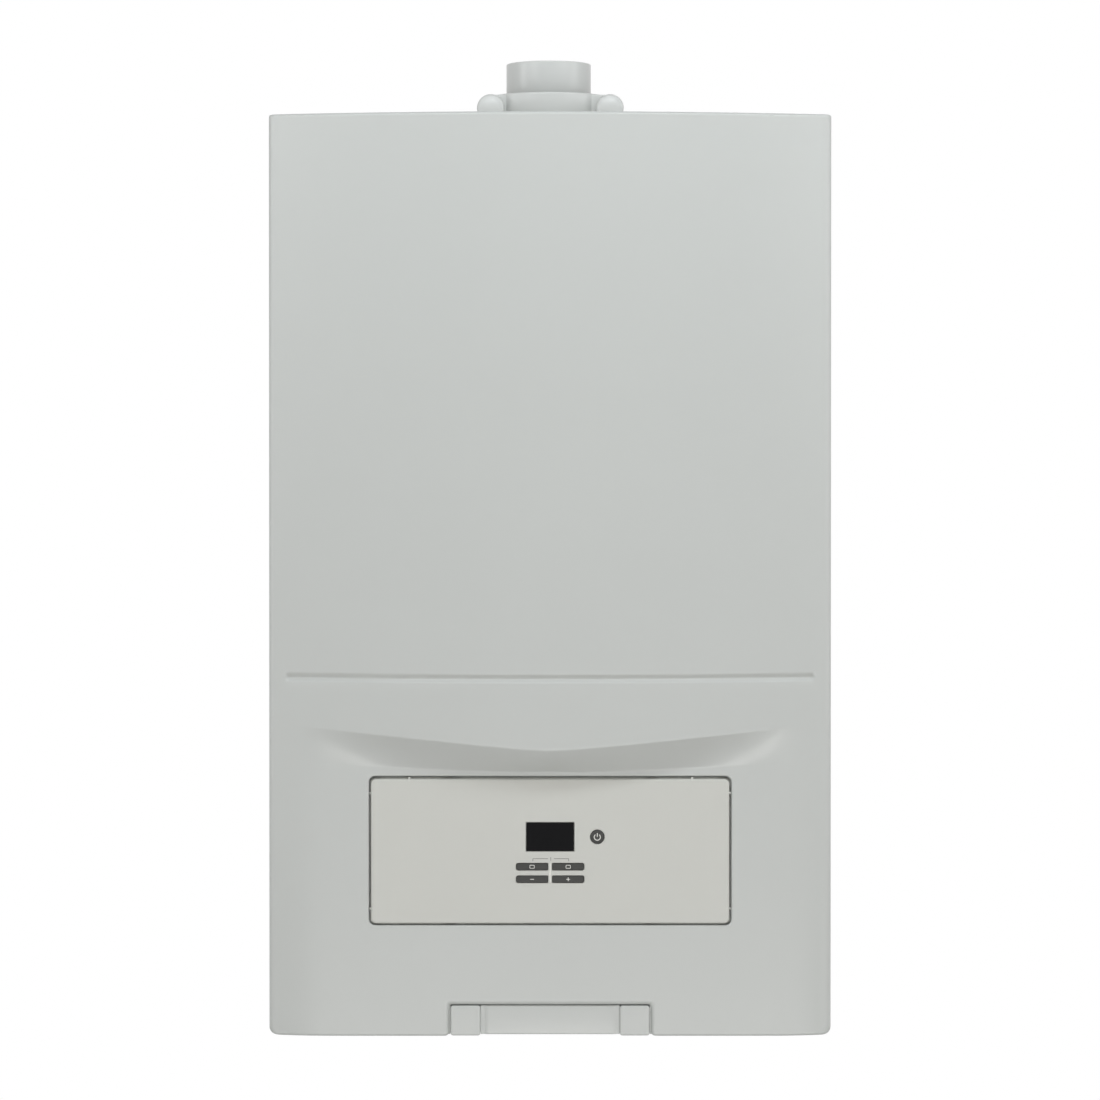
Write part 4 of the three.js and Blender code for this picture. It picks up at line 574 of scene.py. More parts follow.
def hood_rows(window_rim, notch_rim):
    """Rows up the front as z = a + b * smile_top(x) + c * smile_foot(x), from the bottom edge to just below
    the top one."""
    rim, wide = window_rim * RIM_SHARES, notch_rim * NOTCH_SHARES
    bottom = np.array([0.15, 0.4, 0.75, 1.2, 1.7, 2.4, 3.2, 4.1, 5, 6])
    fixed = np.concatenate(
        [
            bottom,
            NOTCH[1] + wide,
            NOTCH[1] - NOTCH_LINES,
            WINDOW[1] - rim,
            WINDOW[1] - WINDOW_ROOM,
            WINDOW[1] + CORNER_LINES,
            WINDOW[2] + rim,
            WINDOW[2] - CORNER_LINES,
        ]
    )
    plain = lines(np.arange(10, 200, 6.0), fixed, 1.6)
    last = plain[-1]
    one, zero = np.ones, np.zeros
    t = np.linspace(0, 1, 9)[1:-1]
    to_foot = np.stack([(1 - t) * last - t * 1.2, 0 * t, t], 1)
    near_foot = np.stack([[-1.2, -0.8, -0.4, 0, 0.4, 0.8, 1.2], zero(7), one(7)], 1)
    s = np.linspace(0, 1, 17)[1:-1]
    slope = np.stack([1.2 * (1 - s) - 1.2 * s, s, 1 - s], 1)
    near_top = np.stack([[-1.2, -0.8, -0.5, -0.2, 0.1, 0.4, 0.8, 1.2], one(8), zero(8)], 1)
    groove = np.arange(GROOVE[0] - 3.6, GROOVE[0] + 6.1, 0.4)
    to_groove = np.stack([(1 - t) * 1.2 + t * groove[0], 1 - t, 0 * t], 1)
    near_edge = [709.5, 711, 712.5, 714, 715.2, 716.2, 717.2, 718]
    above = np.concatenate([groove, np.arange(288, 708, 7.0), near_edge])
    return np.concatenate(
        [
            np.stack([plain, 0 * plain, 0 * plain], 1),
            to_foot,
            near_foot,
            slope,
            near_top,
            to_groove,
            np.stack([above, 0 * above, 0 * above], 1),
        ]
    )


def hood_point(c, kind, z):
    """Places a column of the hood at height z. The half width X shrinks by the rounding of the bottom corners
    and of the top edge. Kind 0 is a line across the front at c, kind 1 an angle round the vertical edge, and
    kind 2 a share of the way back along the side. Signs give left and right."""
    r = 1000 * bpy.context.scene.boiler_casing.edge_radius
    side_in = fold(z, r) + fold(TOP - z, 2.0)
    width = HALF - side_in
    sign = np.sign(c)
    reach = width - r
    a = np.abs(c)
    front_in = fold(z, 2.0) + fold(TOP - z, 2.4)
    squeeze = (reach - SQUEEZE_FROM) / (HALF - r - SQUEEZE_FROM)
    front_x = np.where(a <= SQUEEZE_FROM, a, SQUEEZE_FROM + (a - SQUEEZE_FROM) * squeeze)
    turn = np.where(kind == 1, a, 0)
    x = np.where(kind == 0, front_x, np.where(kind == 1, reach + r * np.sin(turn), width))
    depth = front_depth(np.where(kind == 0, front_x, reach), z) - front_in
    back = np.where(kind == 1, r * (1 - np.cos(turn)), np.where(kind == 2, r, 0))
    y = depth - back
    share = np.where(kind == 2, a, 0)
    y = y + share * (SIDE_BACK - y)
    return sign * x, -y


def hood_shell():
    """The whole painted hood as one sheet: front, round edges and sides as a grid of columns by rows, then
    the top, which runs back from the front's top row, and the lip under the bottom."""
    sizes = bpy.context.scene.boiler_casing
    w_rim, n_rim = 1000 * sizes.window_rim, 1000 * sizes.notch_rim
    across = hood_columns(w_rim, n_rim)
    turns = np.radians([15, 30, 45, 60, 75, 90.0])
    shares = np.array([0.05, 0.3, 0.65, 1.0])
    right = np.concatenate([turns, shares])
    right_kind = np.concatenate([np.full(len(turns), 1), np.full(len(shares), 2)])
    c = np.concatenate([-right[::-1], across, right])
    kind = np.concatenate([right_kind[::-1], np.zeros(len(across), int), right_kind])
    rows = hood_rows(w_rim, n_rim)
    where = np.where(kind == 0, np.abs(c), HALF)
    z = rows[:, :1] + rows[:, 1:2] * smile_top(where)[None] + rows[:, 2:3] * smile_foot(where)[None]
    arc = np.radians([18, 36, 54, 72, 90])
    crown = TOP - 2 + 2 * np.sin(arc)
    z = np.concatenate([np.zeros((1, len(c))), z, np.tile(crown[:, None], len(c))])
    kinds = np.tile(kind, (len(z), 1))
    x, y = hood_point(np.tile(c, (len(z), 1)), kinds, z)
    # folds round the two openings, and their round corners
    flat_zone = (kinds == 0) & (z < 320)
    wx, wz, wd = cut_corners(x, z, *WINDOW, WINDOW_BAND)
    nx, nz, nd = cut_corners(x, z, NOTCH[0], -400.0, NOTCH[1], NOTCH[2], NOTCH_BAND)
    near_window = flat_zone & (wd > -1e-6) & (wd < 12)
    near_notch = flat_zone & (nd > -1e-6) & (nd < 10) & ~near_window
    x2 = np.where(near_window, wx, np.where(near_notch, nx, x))
    z2 = np.where(near_window, wz, np.where(near_notch, nz, z))
    y = y + np.where(near_window, fold(np.maximum(wd, 0), w_rim), 0)
    y = y + np.where(near_notch, fold(np.maximum(nd, 0), n_rim), 0)
    # the cover's own corners at the foot of the notch
    p, q = 1 - nd / n_rim, 1 - z2 / n_rim
    foot = near_notch & (p > 0) & (q > 0) & (np.abs(x2) > NOTCH[0] - 1e-6)
    foot_x = NOTCH[0] + n_rim * (1 - p * np.sqrt(np.clip(1 - q * q / 2, 0, 1)))
    x2 = np.where(foot, np.sign(x2) * foot_x, x2)
    z2 = np.where(foot, n_rim * (1 - q * np.sqrt(np.clip(1 - p * p / 2, 0, 1))), z2)
    points = np.stack([x2, y, z2], -1)
    count_rows, count_columns = z.shape
    # faces, without those in the openings
    middle_x = (c[:-1] + c[1:]) / 2
    front = (kind[:-1] == 0) & (kind[1:] == 0)
    centre_z = (z[:-1, :-1] + z[1:, 1:]) / 2
    between = (centre_z > WINDOW[1]) & (centre_z < WINDOW[2])
    in_window = (front & (np.abs(middle_x) < WINDOW[0]))[None] & between
    in_notch = (front & (np.abs(middle_x) < NOTCH[0]))[None] & (centre_z < NOTCH[1])
    faces = grid_faces(count_rows, count_columns)[~(in_window | in_notch).ravel()]
    all_points = [points.reshape(-1, 3)]
    all_faces = [faces]
    start = count_rows * count_columns
    # top
    first, last = len(shares), count_columns - len(shares)
    edge = points[-1, first:last]
    share = np.concatenate([[0], shares])[:, None]
    top_y = edge[None, :, 1] * (1 - share) + share * -SIDE_BACK
    top = np.stack([np.tile(edge[:, 0], (len(share), 1)), top_y, np.full(top_y.shape, TOP)], -1)
    all_points.append(top.reshape(-1, 3))
    all_faces.append(grid_faces(len(share), last - first, start))
    start += top.size // 3
    # lip under the bottom
    edge = points[0]
    target = np.stack([np.clip(edge[:, 0], -180, 180), np.maximum(edge[:, 1], -296.5), 0 * edge[:, 2]], -1)
    lip = np.stack([edge, edge * 0.93 + target * 0.07, target])
    lip[:, :, 2] = edge[None, :, 2]
    lip_faces = grid_faces(3, count_columns, start)
    gone = np.tile(front & (np.abs(middle_x) < NOTCH[0]), 2)
    all_points.append(lip.reshape(-1, 3))
    all_faces.append(lip_faces[~gone])
    start += lip.size // 3
    # the folds' straight parts, which run back from the openings' edges
    for loop, reach in hood_rims(points, c, kind, z):
        steps = np.array([0, 0.15, 1.0])[:, None, None]
        wall = np.tile(loop[None], (3, 1, 1))
        wall[:, :, 1] += steps[:, :, 0] * reach
        all_points.append(wall.reshape(-1, 3))
        all_faces.append(grid_faces(3, len(loop), start))
        start += wall.size // 3
    return np.concatenate(all_points), all_faces


def hood_rims(points, c, kind, z):
    """The edge points of the window, all the way round, and of the notch from foot to foot, with the depth
    of the wall that runs back from each."""
    front = kind == 0

    def column(value):
        return int(np.argmin(np.where(front, np.abs(c - value), 1e9)))

    def row(value):
        return int(np.argmin(np.abs(z[:, len(c) // 2] - value)))

    left, right, low, high = column(-WINDOW[0]), column(WINDOW[0]), row(WINDOW[1]), row(WINDOW[2])
    window = np.concatenate(
        [
            points[low, left : right + 1],
            points[low + 1 : high + 1, right],
            points[high, left:right][::-1],
            points[low:high, left][::-1],
        ]
    )
    left, right, high = column(-NOTCH[0]), column(NOTCH[0]), row(NOTCH[1])
    notch = np.concatenate(
        [points[: high + 1, left], points[high, left + 1 : right + 1], points[:high, right][::-1]]
    )
    return ((window, 3.5), (notch, 5.0))


class BOILER_OT_front_cover(bpy.types.Operator):
    """Pressed and painted hood: bowed front, groove, smile-shaped step, window, notch, sides, top and lip"""

    bl_idname = "boiler.front_cover"
    bl_label = "Front cover"

    def execute(self, context):
        points, face_lists = hood_shell()
        parts = [(points, facing_sheet(points, faces)) for faces in face_lists]
        merged = [(points, np.concatenate([f for _, f in parts]))]
        piece = put_piece(
            "front_hood", merged, "front_cover", finish_of("powder_coat"), ("front_cover",)
        )
        thicken(piece, context.scene.boiler_casing.sheet)
        return {"FINISHED"}


def facing_sheet(points, faces):
    """Turns the faces of one region of the hood outwards, away from a point in its middle."""
    inside = (0.0, -150.0, 360.0)
    return facing(points, faces, inside)


# ------------------------------------------------------------------ control panel


def plate_with_holes(outline, holes, y):
    """A flat face between an outline and holes, as triangles, written as quads with a doubled corner."""
    loops = [outline] + holes
    flat = [[Vector((float(a), float(b), 0)) for a, b in loop] for loop in loops]
    triangles = np.array(tessellate_polygon(flat), int)
    places = np.concatenate(loops)
    points = np.stack([places[:, 0], np.full(len(places), y), places[:, 1]], -1)
    return points, np.concatenate([triangles, triangles[:, 2:]], 1)


def hole_rings(ring, radius, y, depth):
    """Rings round a hole, from the flat face over an arc of the given radius and down its wall. ring(d) is
    the hole's outline grown by d."""
    arc = np.linspace(0, math.pi / 2, 5)
    rows = [(radius + FLAT_START, y)]
    rows += [(radius * (1 - math.sin(a)), y + radius * (1 - math.cos(a))) for a in arc]
    rows += [(0.0, y + depth)]
    loops = [ring(d) for d, _ in rows]
    points = stacked(loops, [h for _, h in rows])
    return loops[0], (points, grid_faces(len(rows), len(loops[0]), close_columns=True))


DISPLAY = (37.6, 22.5, 155.8)  # width, height, middle height
BUTTON = (36.8, 155.8, 5.3)  # x, height, radius
KEYS = {  # name: (middle x, middle height)
    "key_menu_left": (-14.1, 132.5),
    "key_menu_right": (14.1, 132.5),
    "key_minus": (-14.1, 122.7),
    "key_plus": (14.1, 122.7),
}
KEY_HALF = (12.3, 2.6)
KEY_FRONT, KEY_BACK = -317.1, -311.4
FASCIA_HALF = (139.9, 112.9 / 2)
FASCIA_BACK = -312.5
FASCIA_MID = 88.1 + FASCIA_HALF[1]
HOLE_GAP = 0.3  # gap round the keys and the button


def key_radii(x):
    """The corners at a block's outside are rounder than those in its middle."""
    outer = 1000 * bpy.context.scene.boiler_panel.key_corner
    inner = 0.5
    return (outer, inner, inner, outer) if x > 0 else (inner, outer, outer, inner)


class BOILER_OT_fascia(bpy.types.Operator):
    """Moulded fascia with rounded rim, openings for display, button and keys, gap nubs and printed lines"""

    bl_idname = "boiler.fascia"
    bl_label = "Fascia"

    def execute(self, context):
        edge = 1000 * context.scene.boiler_panel.fascia_edge
        front, back = -FLAT, FASCIA_BACK
        arc = np.linspace(0, math.pi / 2, 7)
        rows = [(1.8, back), (-0.85, back), (-0.95, back - 0.1), (-0.95, back - 0.7), (-0.85, back - 0.8)]
        rows += [(0.0, back - 0.8)]
        rows += [(edge * (1 - math.cos(a)), front + edge * (1 - math.sin(a))) for a in arc]
        rows += [(edge + 0.2, front)]
        rings = [ring_of(*FASCIA_HALF, (4,) * 4, i, 8) + (0, FASCIA_MID) for i, _ in rows]
        points = stacked(rings, [y for _, y in rows])
        faces = grid_faces(len(rows), len(rings[0]), close_columns=True)
        rim = (points, facing(points, faces, (0, -300, FASCIA_MID)))

        def display_hole(d):
            half = (DISPLAY[0] / 2 + 0.25 + d, DISPLAY[1] / 2 + 0.25 + d)
            return ring_of(*half, (0.6 + d,) * 4, 0, 4) + (0, DISPLAY[2])

        def button_hole(d):
            a = np.linspace(0, 2 * math.pi, 64, endpoint=False)
            r = BUTTON[2] + HOLE_GAP + d
            return np.stack([BUTTON[0] + r * np.cos(a), BUTTON[1] + r * np.sin(a)], -1)

        holes = [(display_hole, 0.35, 2.2), (button_hole, 0.5, 3.6)]
        for x, z in KEYS.values():
            def key_hole(d, x=x, z=z):
                grow = HOLE_GAP + d
                radii = tuple(r + grow for r in key_radii(x))
                return ring_of(KEY_HALF[0] + grow, KEY_HALF[1] + grow, radii, 0, 4) + (x, z)

            holes.append((key_hole, 0.3, 3.6))
        loops, parts = [], [rim]
        for ring, radius, depth in holes:
            loop, part = hole_rings(ring, radius, front, depth)
            x, z = loop.mean(0)
            parts.append((part[0], facing(part[0], part[1], (x, front - 30, z))[:, ::-1]))
            loops.append(loop)
        face = plate_with_holes(rings[-1], loops, front)
        parts.append((face[0], facing(face[0], face[1], (0, front + 20, FASCIA_MID))))
        # floor of the display's recess
        floor = plate_with_holes(display_hole(0.2), [], front + 2.2)
        parts.append((floor[0], facing(floor[0], floor[1], (0, front + 20, FASCIA_MID))))
        # little spacers that keep the gap round the fascia even
        for x, z, along in (
            (-110.0, 201.0, "x"), (110.9, 201.0, "x"),
            *((side * FASCIA_HALF[0], height, "z") for height in (190.0, 99.8) for side in (-1, 1)),
        ):
            half = (1.0, 1.5) if along == "x" else (1.3, 0.9)
            parts.append(slab(*half, (0.5,) * 4, 0.4, (x, z), front + 1.0, back + 0.3))
        put_piece(
            "fascia_panel", parts, "control_box", finish_of("fascia_abs"), ("control_fascia",)
        )
        self.print_lines(front)
        return {"FINISHED"}

    def print_lines(self, front):
        """Thin printed lines that tie the two menu keys to the display, with a tick between them, and the
        pale rib between the keys."""
        z, w = 138.75, 0.22  # height of the lines, half their width
        face, back = front - 0.03, front + 0.1
        strokes = (
            (-13.4, -1.6, z - w, z + w),
            (-13.7, -13.26, z - 2.0, z + w),
            (2.9, 14.5, z - w, z + w),
            (14.16, 14.6, z - 2.0, z + w),
            (0.25, 0.7, z - 1.5, z + 1.1),
        )
        parts = [
            slab((b - a) / 2, (d - c) / 2, (0.1,) * 4, 0.02, ((a + b) / 2, (c + d) / 2), face, back)
            for a, b, c, d in strokes
        ]
        put_piece("panel_lines", parts, "control_box", finish_of("print_grey"))
        rib = slab(0.5, 7.7, (0.3,) * 4, 0.2, (0, 127.5), front - 0.3, back)
        put_piece("key_rib", [rib], "control_box", finish_of("print_light"))


class BOILER_OT_display(bpy.types.Operator):
    """Tinted window of the display with a polished bevel"""

    bl_idname = "boiler.display"
    bl_label = "Display"

    def execute(self, context):
        w, h, z = DISPLAY[0] / 2 - 0.3, DISPLAY[1] / 2 - 0.3, DISPLAY[2]
        glass = slab(w, h, (0.5,) * 4, 0.35, (0, z), -316.4, -314.6)
        put_piece("display_window", [glass], "control_box", finish_of("window"), ("display",))
        return {"FINISHED"}


def key_part(x, z):
    edge = 1000 * bpy.context.scene.boiler_panel.key_edge
    return slab(*KEY_HALF, key_radii(x), edge, (x, z), KEY_FRONT, KEY_BACK, 0.12)


def stroke(x0, x1, z0, z1, y, r=0.1, lift=0.09):
    """A raised bar between x0 and x1, z0 and z1, that stands lift proud of the face at y."""
    middle = ((x0 + x1) / 2, (z0 + z1) / 2)
    return slab((x1 - x0) / 2, (z1 - z0) / 2, (r,) * 4, 0.03, middle, y - lift, y + 0.3)


def band(ring_in, ring_out, y, lift=0.09, closed=True):
    """A raised band between two outlines with the same number of points: four rows round its section."""
    points = stacked([ring_in, ring_in, ring_out, ring_out], [y + 0.3, y - lift, y - lift, y + 0.3])
    faces = grid_faces(4, len(ring_in), close_rows=True, close_columns=closed)
    if not closed:
        n = len(ring_in)
        ends = np.array([[0, n, 2 * n, 3 * n], [4 * n - 1, 3 * n - 1, 2 * n - 1, n - 1]])
        faces = np.concatenate([faces, ends])
    return points, facing(points, faces)


class BOILER_OT_keys(bpy.types.Operator):
    """Four moulded keys with raised generic symbols"""

    bl_idname = "boiler.keys"
    bl_label = "Keys"

    def execute(self, context):
        y = KEY_FRONT - 0.11
        for name, (x, z) in KEYS.items():
            put_piece(name + "_cap", [key_part(x, z)], name, finish_of("key_abs"), (name,))
            if "menu" in name:
                outer = ring_of(1.95, 1.42, (0.7,) * 4, 0, 6) + (x, z)
                inner = ring_of(1.5, 0.97, (0.35,) * 4, 0, 6) + (x, z)
                marks = [band(inner, outer, y)]
            else:
                reach = 1.45 if name == "key_plus" else 1.5
                marks = [stroke(x - reach, x + reach, z - 0.27, z + 0.27, y)]
                if name == "key_plus":
                    marks.append(stroke(x - 0.27, x + 0.27, z - reach, z + reach, y - 0.01))
            put_piece(name + "_mark", marks, name, finish_of("print_light"))
        return {"FINISHED"}


class BOILER_OT_power_button(bpy.types.Operator):
    """Round on/off button, slightly domed, with the usual ring-and-bar symbol"""

    bl_idname = "boiler.power_button"
    bl_label = "Power button"

    def execute(self, context):
        x, z, r = BUTTON
        front, back = KEY_FRONT, KEY_BACK
        arc = np.linspace(0, math.pi / 2, 7)
        profile = [(0, back), (r - 0.3, back), (r, back - 0.3)]
        profile += [(r - 0.8 * (1 - math.cos(a)), front + 0.8 * (1 - math.sin(a))) for a in arc]
        profile += [(s * (r - 0.8), front + 0.16 * s**2) for s in (0.93, 0.75, 0.5, 0.25, 0.0)]
        put_piece(
            "power_button_cap", [turned(profile, (x, 0, z), "y", 72)], "power_button", finish_of("key_abs"),
            ("power_button",),
        )
        y = front + 0.02
        a = np.radians(np.linspace(90 + 38, 90 + 322, 40))
        outer = np.stack([x + 2.75 * np.cos(a), z - 0.15 + 2.75 * np.sin(a)], -1)
        inner = np.stack([x + 2.05 * np.cos(a), z - 0.15 + 2.05 * np.sin(a)], -1)
        bar = stroke(x - 0.32, x + 0.32, z + 0.1, z + 3.0, y, 0.2, 0.1)
        marks = [band(inner, outer, y, 0.1, closed=False), bar]
        put_piece("power_button_mark", marks, "power_button", finish_of("print_light"))
        return {"FINISHED"}


# ------------------------------------------------------------------ latch


class BOILER_OT_latch(bpy.types.Operator):
    """Rounded latch strip and its two release clips in the notch"""

    bl_idname = "boiler.latch"
    bl_label = "Latch"

    def execute(self, context):
        edge = 1000 * context.scene.boiler_panel.clip_edge
        arc = np.linspace(0, math.pi / 2, 6)
        low = [(2.1 - 1.0 * math.cos(a), -313.5 - 0.9 * math.sin(a)) for a in arc]
        high = [(22.7 + 1.0 * math.cos(a), -313.5 - 0.9 * math.sin(a)) for a in arc[::-1]]
        profile = np.array([(1.1, -312.7)] + low + high + [(23.7, -312.7)])
        x = np.concatenate([np.linspace(-54.4, -46, 15), [-23, 0, 23], np.linspace(46, 54.4, 15)])
        near = np.clip((54.4 - np.abs(x)) / 6.5, 0, 1)
        dip = 0.8 * (1 - near * near * (3 - 2 * near))
        y = profile[:, 1:] + dip[None] * (profile[:, 1:] < -313)
        points = np.stack([np.tile(x, (len(profile), 1)), y, np.tile(profile[:, :1], len(x))], -1)
        points = points.reshape(-1, 3)
        strip = (points, facing(points, grid_faces(len(profile), len(x)), (0.0, -300.0, 12.0)))
        put_piece("latch_face", [strip], "chassis", finish_of("powder_coat"))
        for side, name in ((-1, "release_clip_left"), (1, "release_clip_right")):
            x = side * 66.1
            pad = slab(11.6, 11.7, (2.0,) * 4, edge, (x, 12.1), -317.0, -309.0, 0.12, back_edge=0.4)
            put_piece(name + "_pad", [pad], name, finish_of("powder_coat"), (name,))
        return {"FINISHED"}


# ------------------------------------------------------------------ flue connection


TEST_POINTS = {"test_cap_left": -47.7, "test_cap_right": 50.0}
TEST_HEIGHT = 738.1
FLUE_AXIS = 125.0  # distance of the flue's axis from the wall
FLUE_FOOT = TOP + 0.3


class BOILER_OT_flue(bpy.types.Operator):
    """Moulded flue connection: flange, air ring with rolled rim, ribs, pipe socket and two test points"""

    bl_idname = "boiler.flue"
    bl_label = "Flue connection"

    def execute(self, context):
        finish = finish_of("flue_pp")
        z, axis = FLUE_FOOT, (0, -FLUE_AXIS, 0)
        ring = rounded_path([(47.0, z, 0), (49.7, z, 0), (49.7, z + 30.2, 1.2), (47.0, z + 30.2, 1.2)], 6)
        parts = [turned(ring, axis, "z", 128)]
        arc = np.linspace(0, math.pi / 2, 5)
        rows = [(0.0, z)] + [(1.2 * (1 - math.cos(a)), z + 4 - 1.2 * (1 - math.sin(a))) for a in arc]
        rows += [(1.5, z + 4)]
        rings = [ring_of(64, 64, (18,) * 4, i, 10) for i, _ in rows]
        a = np.arctan2(rings[0][:, 1], rings[0][:, 0])
        hole = np.stack([49.0 * np.cos(a), 49.0 * np.sin(a)], -1)
        rows += [(0, z + 4), (0, z)]
        rings += [hole, hole]
        levels = [np.full((len(rings[0]), 1), h) for _, h in rows]
        points = np.concatenate([np.hstack([g - (0, FLUE_AXIS), h]) for g, h in zip(rings, levels)])
        faces = grid_faces(len(rows), len(rings[0]), close_rows=True, close_columns=True)
        parts.append((points, facing(points, faces)))
        # fillet where the ring rises from the flange
        fillet = [(49.3, 3.6), (53.2, 3.9), (51.6, 4.3), (50.5, 5.3), (49.9, 7.0), (49.3, 7.4)]
        fillet = [(r, z + rise) for r, rise in fillet]
        parts.append(turned(fillet, axis, "z", 128))
        for x in TEST_POINTS.values():
            socket = [(0, -161.0, 0), (11.2, -161.0, 0.4), (11.2, -119.0, 2.0), (0, -119.0, 0)]
            socket = rounded_path(socket, 4)
            parts.append(turned(socket, (x, 0, TEST_HEIGHT), "y", 64))
        for k in range(3):
            t = math.pi / 6 + k * 2 * math.pi / 3
            along, across = np.array([math.cos(t), math.sin(t)]), np.array([-math.sin(t), math.cos(t)])
            rib = slab(5.95, 9.05, (0.5,) * 4, 0.4, (41.35, z + 9.05), -1.35, 1.35)
            p = rib[0]
            flat = p[:, :1] * along + p[:, 1:2] * across
            parts.append((np.concatenate([flat + (0, -FLUE_AXIS), p[:, 2:]], 1), rib[1]))
        for side in (-1, 1):
            parts.append(slab(8.5, 14.3, (2.5,) * 4, 1.5, (side * 41.5, 735.2), -160.4, -128.0))
        put_piece("flue_flange", parts, "chassis", finish, ("flue_collar",))
        tube = rounded_path([(32.5, 706.0, 0), (35.0, 706.0, 0), (35.0, 777.5, 0.9), (32.5, 777.5, 0.9)], 6)
        pipe = turned(tube, axis, "z", 128)
        put_piece("flue_socket_pipe", [pipe], "chassis", finish, ("flue_tube",))
        for name, x in TEST_POINTS.items():
            arc = np.linspace(0, math.pi / 2, 9)
            dome = [(0, -161.3), (11.0, -161.3), (11.3, -161.6), (11.3, -165.3)]
            dome += [(11.3 - 3.0 * (1 - math.cos(a)), -165.3 - 2.6 * math.sin(a)) for a in arc[1:]]
            dome += [(8.3 * s, -167.9 - 1.4 * (1 - s * s)) for s in (0.85, 0.65, 0.4, 0.2, 0.0)]
            parts = [turned(dome, (x, 0, TEST_HEIGHT), "y", 72)]
            put_piece(name + "_dome", parts, "chassis", finish, (name,))
        return {"FINISHED"}


# ------------------------------------------------------------------ fasteners


def screw(radius, height, sides=32):
    """A pan head with a cross recess suggested by a dimple: profile from the rim over the crown."""
    arc = np.linspace(0, math.pi / 2, 6)
    rows = [(0, 0.0), (radius, 0.0)]
    rows += [(radius * (0.55 + 0.45 * math.cos(a)), -height * (0.25 + 0.75 * math.sin(a))) for a in arc]
    rows += [(radius * 0.42, -height), (radius * 0.3, -height * 0.55), (0, -height * 0.45)]
    return turned(rows, (0, 0, 0), "y", sides)


def turn_up(part):
    """Turns a part that faces forwards so that it faces up."""
    points = np.stack([part[0][:, 0], part[0][:, 2], -part[0][:, 1]], -1)
    return points, facing(points, part[1])


class BOILER_OT_fasteners(bpy.types.Operator):
    """Screws of the flue flange and of the top sheet, and the burner door's nuts on their studs"""

    bl_idname = "boiler.fasteners"
    bl_label = "Fasteners"

    def execute(self, context):
        up = turn_up(screw(4.2, 2.2))
        flange = [moved(up, (sx * 54, sy * 54 - FLUE_AXIS, 724.3)) for sx in (-1, 1) for sy in (-1, 1)]
        put_piece("flue_flange_screws", flange, "chassis", finish_of("screw"))
        top = [moved(up, (sx * 204, y, TOP)) for sx in (-1, 1) for y in (-22, -130, -238)]
        put_piece("top_panel_screws", top, "chassis", finish_of("screw"))
        nut = turned([(0, 0), (5.2, 0), (5.2, -3.6), (4.5, -4.2), (0, -4.2)], (0, 0, 0), "y", 6)
        stud = turned([(0, -4.2), (2.9, -4.2), (2.9, -6.6), (2.4, -7.2), (0, -7.2)], (0, 0, 0), "y", 24)
        washer = turned([(0, 0.2), (6.6, 0.2), (6.6, -0.9), (6.2, -1.2), (0, -1.2)], (0, 0, 0), "y", 32)
        parts = []
        for angle in np.radians([30, 90, 150, 210, 270, 330]):
            place = (100 * math.cos(angle), -249.9, 500 + 100 * math.sin(angle))
            parts += [moved(p, place) for p in (washer, moved(nut, (0, -1.2, 0)), moved(stud, (0, -1.2, 0)))]
        put_piece("burner_door_nuts", parts, "chassis", finish_of("screw"), smooth=False)
        return {"FINISHED"}


# ------------------------------------------------------------------ finishes of the frame's own nodes

NODE_FINISH = {
    "powder_coat": ("side_panel_left", "side_panel_right", "top_panel", "latch_bar"),
    "zinc": ("rear_frame", "base_plate", "cross_rail", "control_bracket"),
    "dark_abs": (
        "fan_impeller", "fan_motor", "venturi", "intake_silencer", "pump_motor", "pump_impeller",
        "diverter_motor", "control_box",
    ),
    "flue_pp": ("flue_duct", "condensate_siphon"),
    "cast": ("exchanger_housing", "burner_door", "burner_manifold", "fan_housing", "gas_valve"),
    "stainless": ("exchanger_coil", "burner_tube", "plate_heat_exchanger"),
    "copper": ("gas_pipe", "flow_pipe", "return_pipe"),
    "brass": (
        "heating_flow_connection", "hot_water_connection", "gas_connection", "cold_water_connection",
        "heating_return_connection", "pump_housing", "air_vent", "safety_valve", "diverter_valve",
        "pressure_sensor",
    ),
    "rubber": ("flue_seal", "door_seal", "condensate_hose"),
    "red_abs": ("safety_valve_knob",),
    "red_enamel": ("expansion_vessel",),
    "laminate": ("circuit_board",),
    "ceramic": ("ignition_electrode",),
}


class BOILER_OT_node_finishes(bpy.types.Operator):
    """Gives every solid of the frame its finish; those that a modelled piece replaces share one"""

    bl_idname = "boiler.node_finishes"
    bl_label = "Finishes of the inner parts"

    def execute(self, context):
        stays = {name: key for key, names in NODE_FINISH.items() for name in names}
        for name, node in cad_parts.items():
            node.data.materials.clear()
            node.data.materials.append(finish_of(stays.get(name, "fascia_abs")))
        return {"FINISHED"}


# ------------------------------------------------------------------ studio


def area_lamp(name, place, target, size, watts, tint=(1, 1, 1)):
    """A rectangular lamp that faces its target."""
    data = bpy.data.lights.new(name, "AREA")
    data.shape = "RECTANGLE"
    data.size, data.size_y = size
    data.energy = watts
    data.color = tint
    lamp = bpy.data.objects.new(name, data)
    bpy.context.scene.collection.objects.link(lamp)
    lamp.location = place
    lamp.rotation_euler = (Vector(target) - Vector(place)).to_track_quat("-Z", "Y").to_euler()


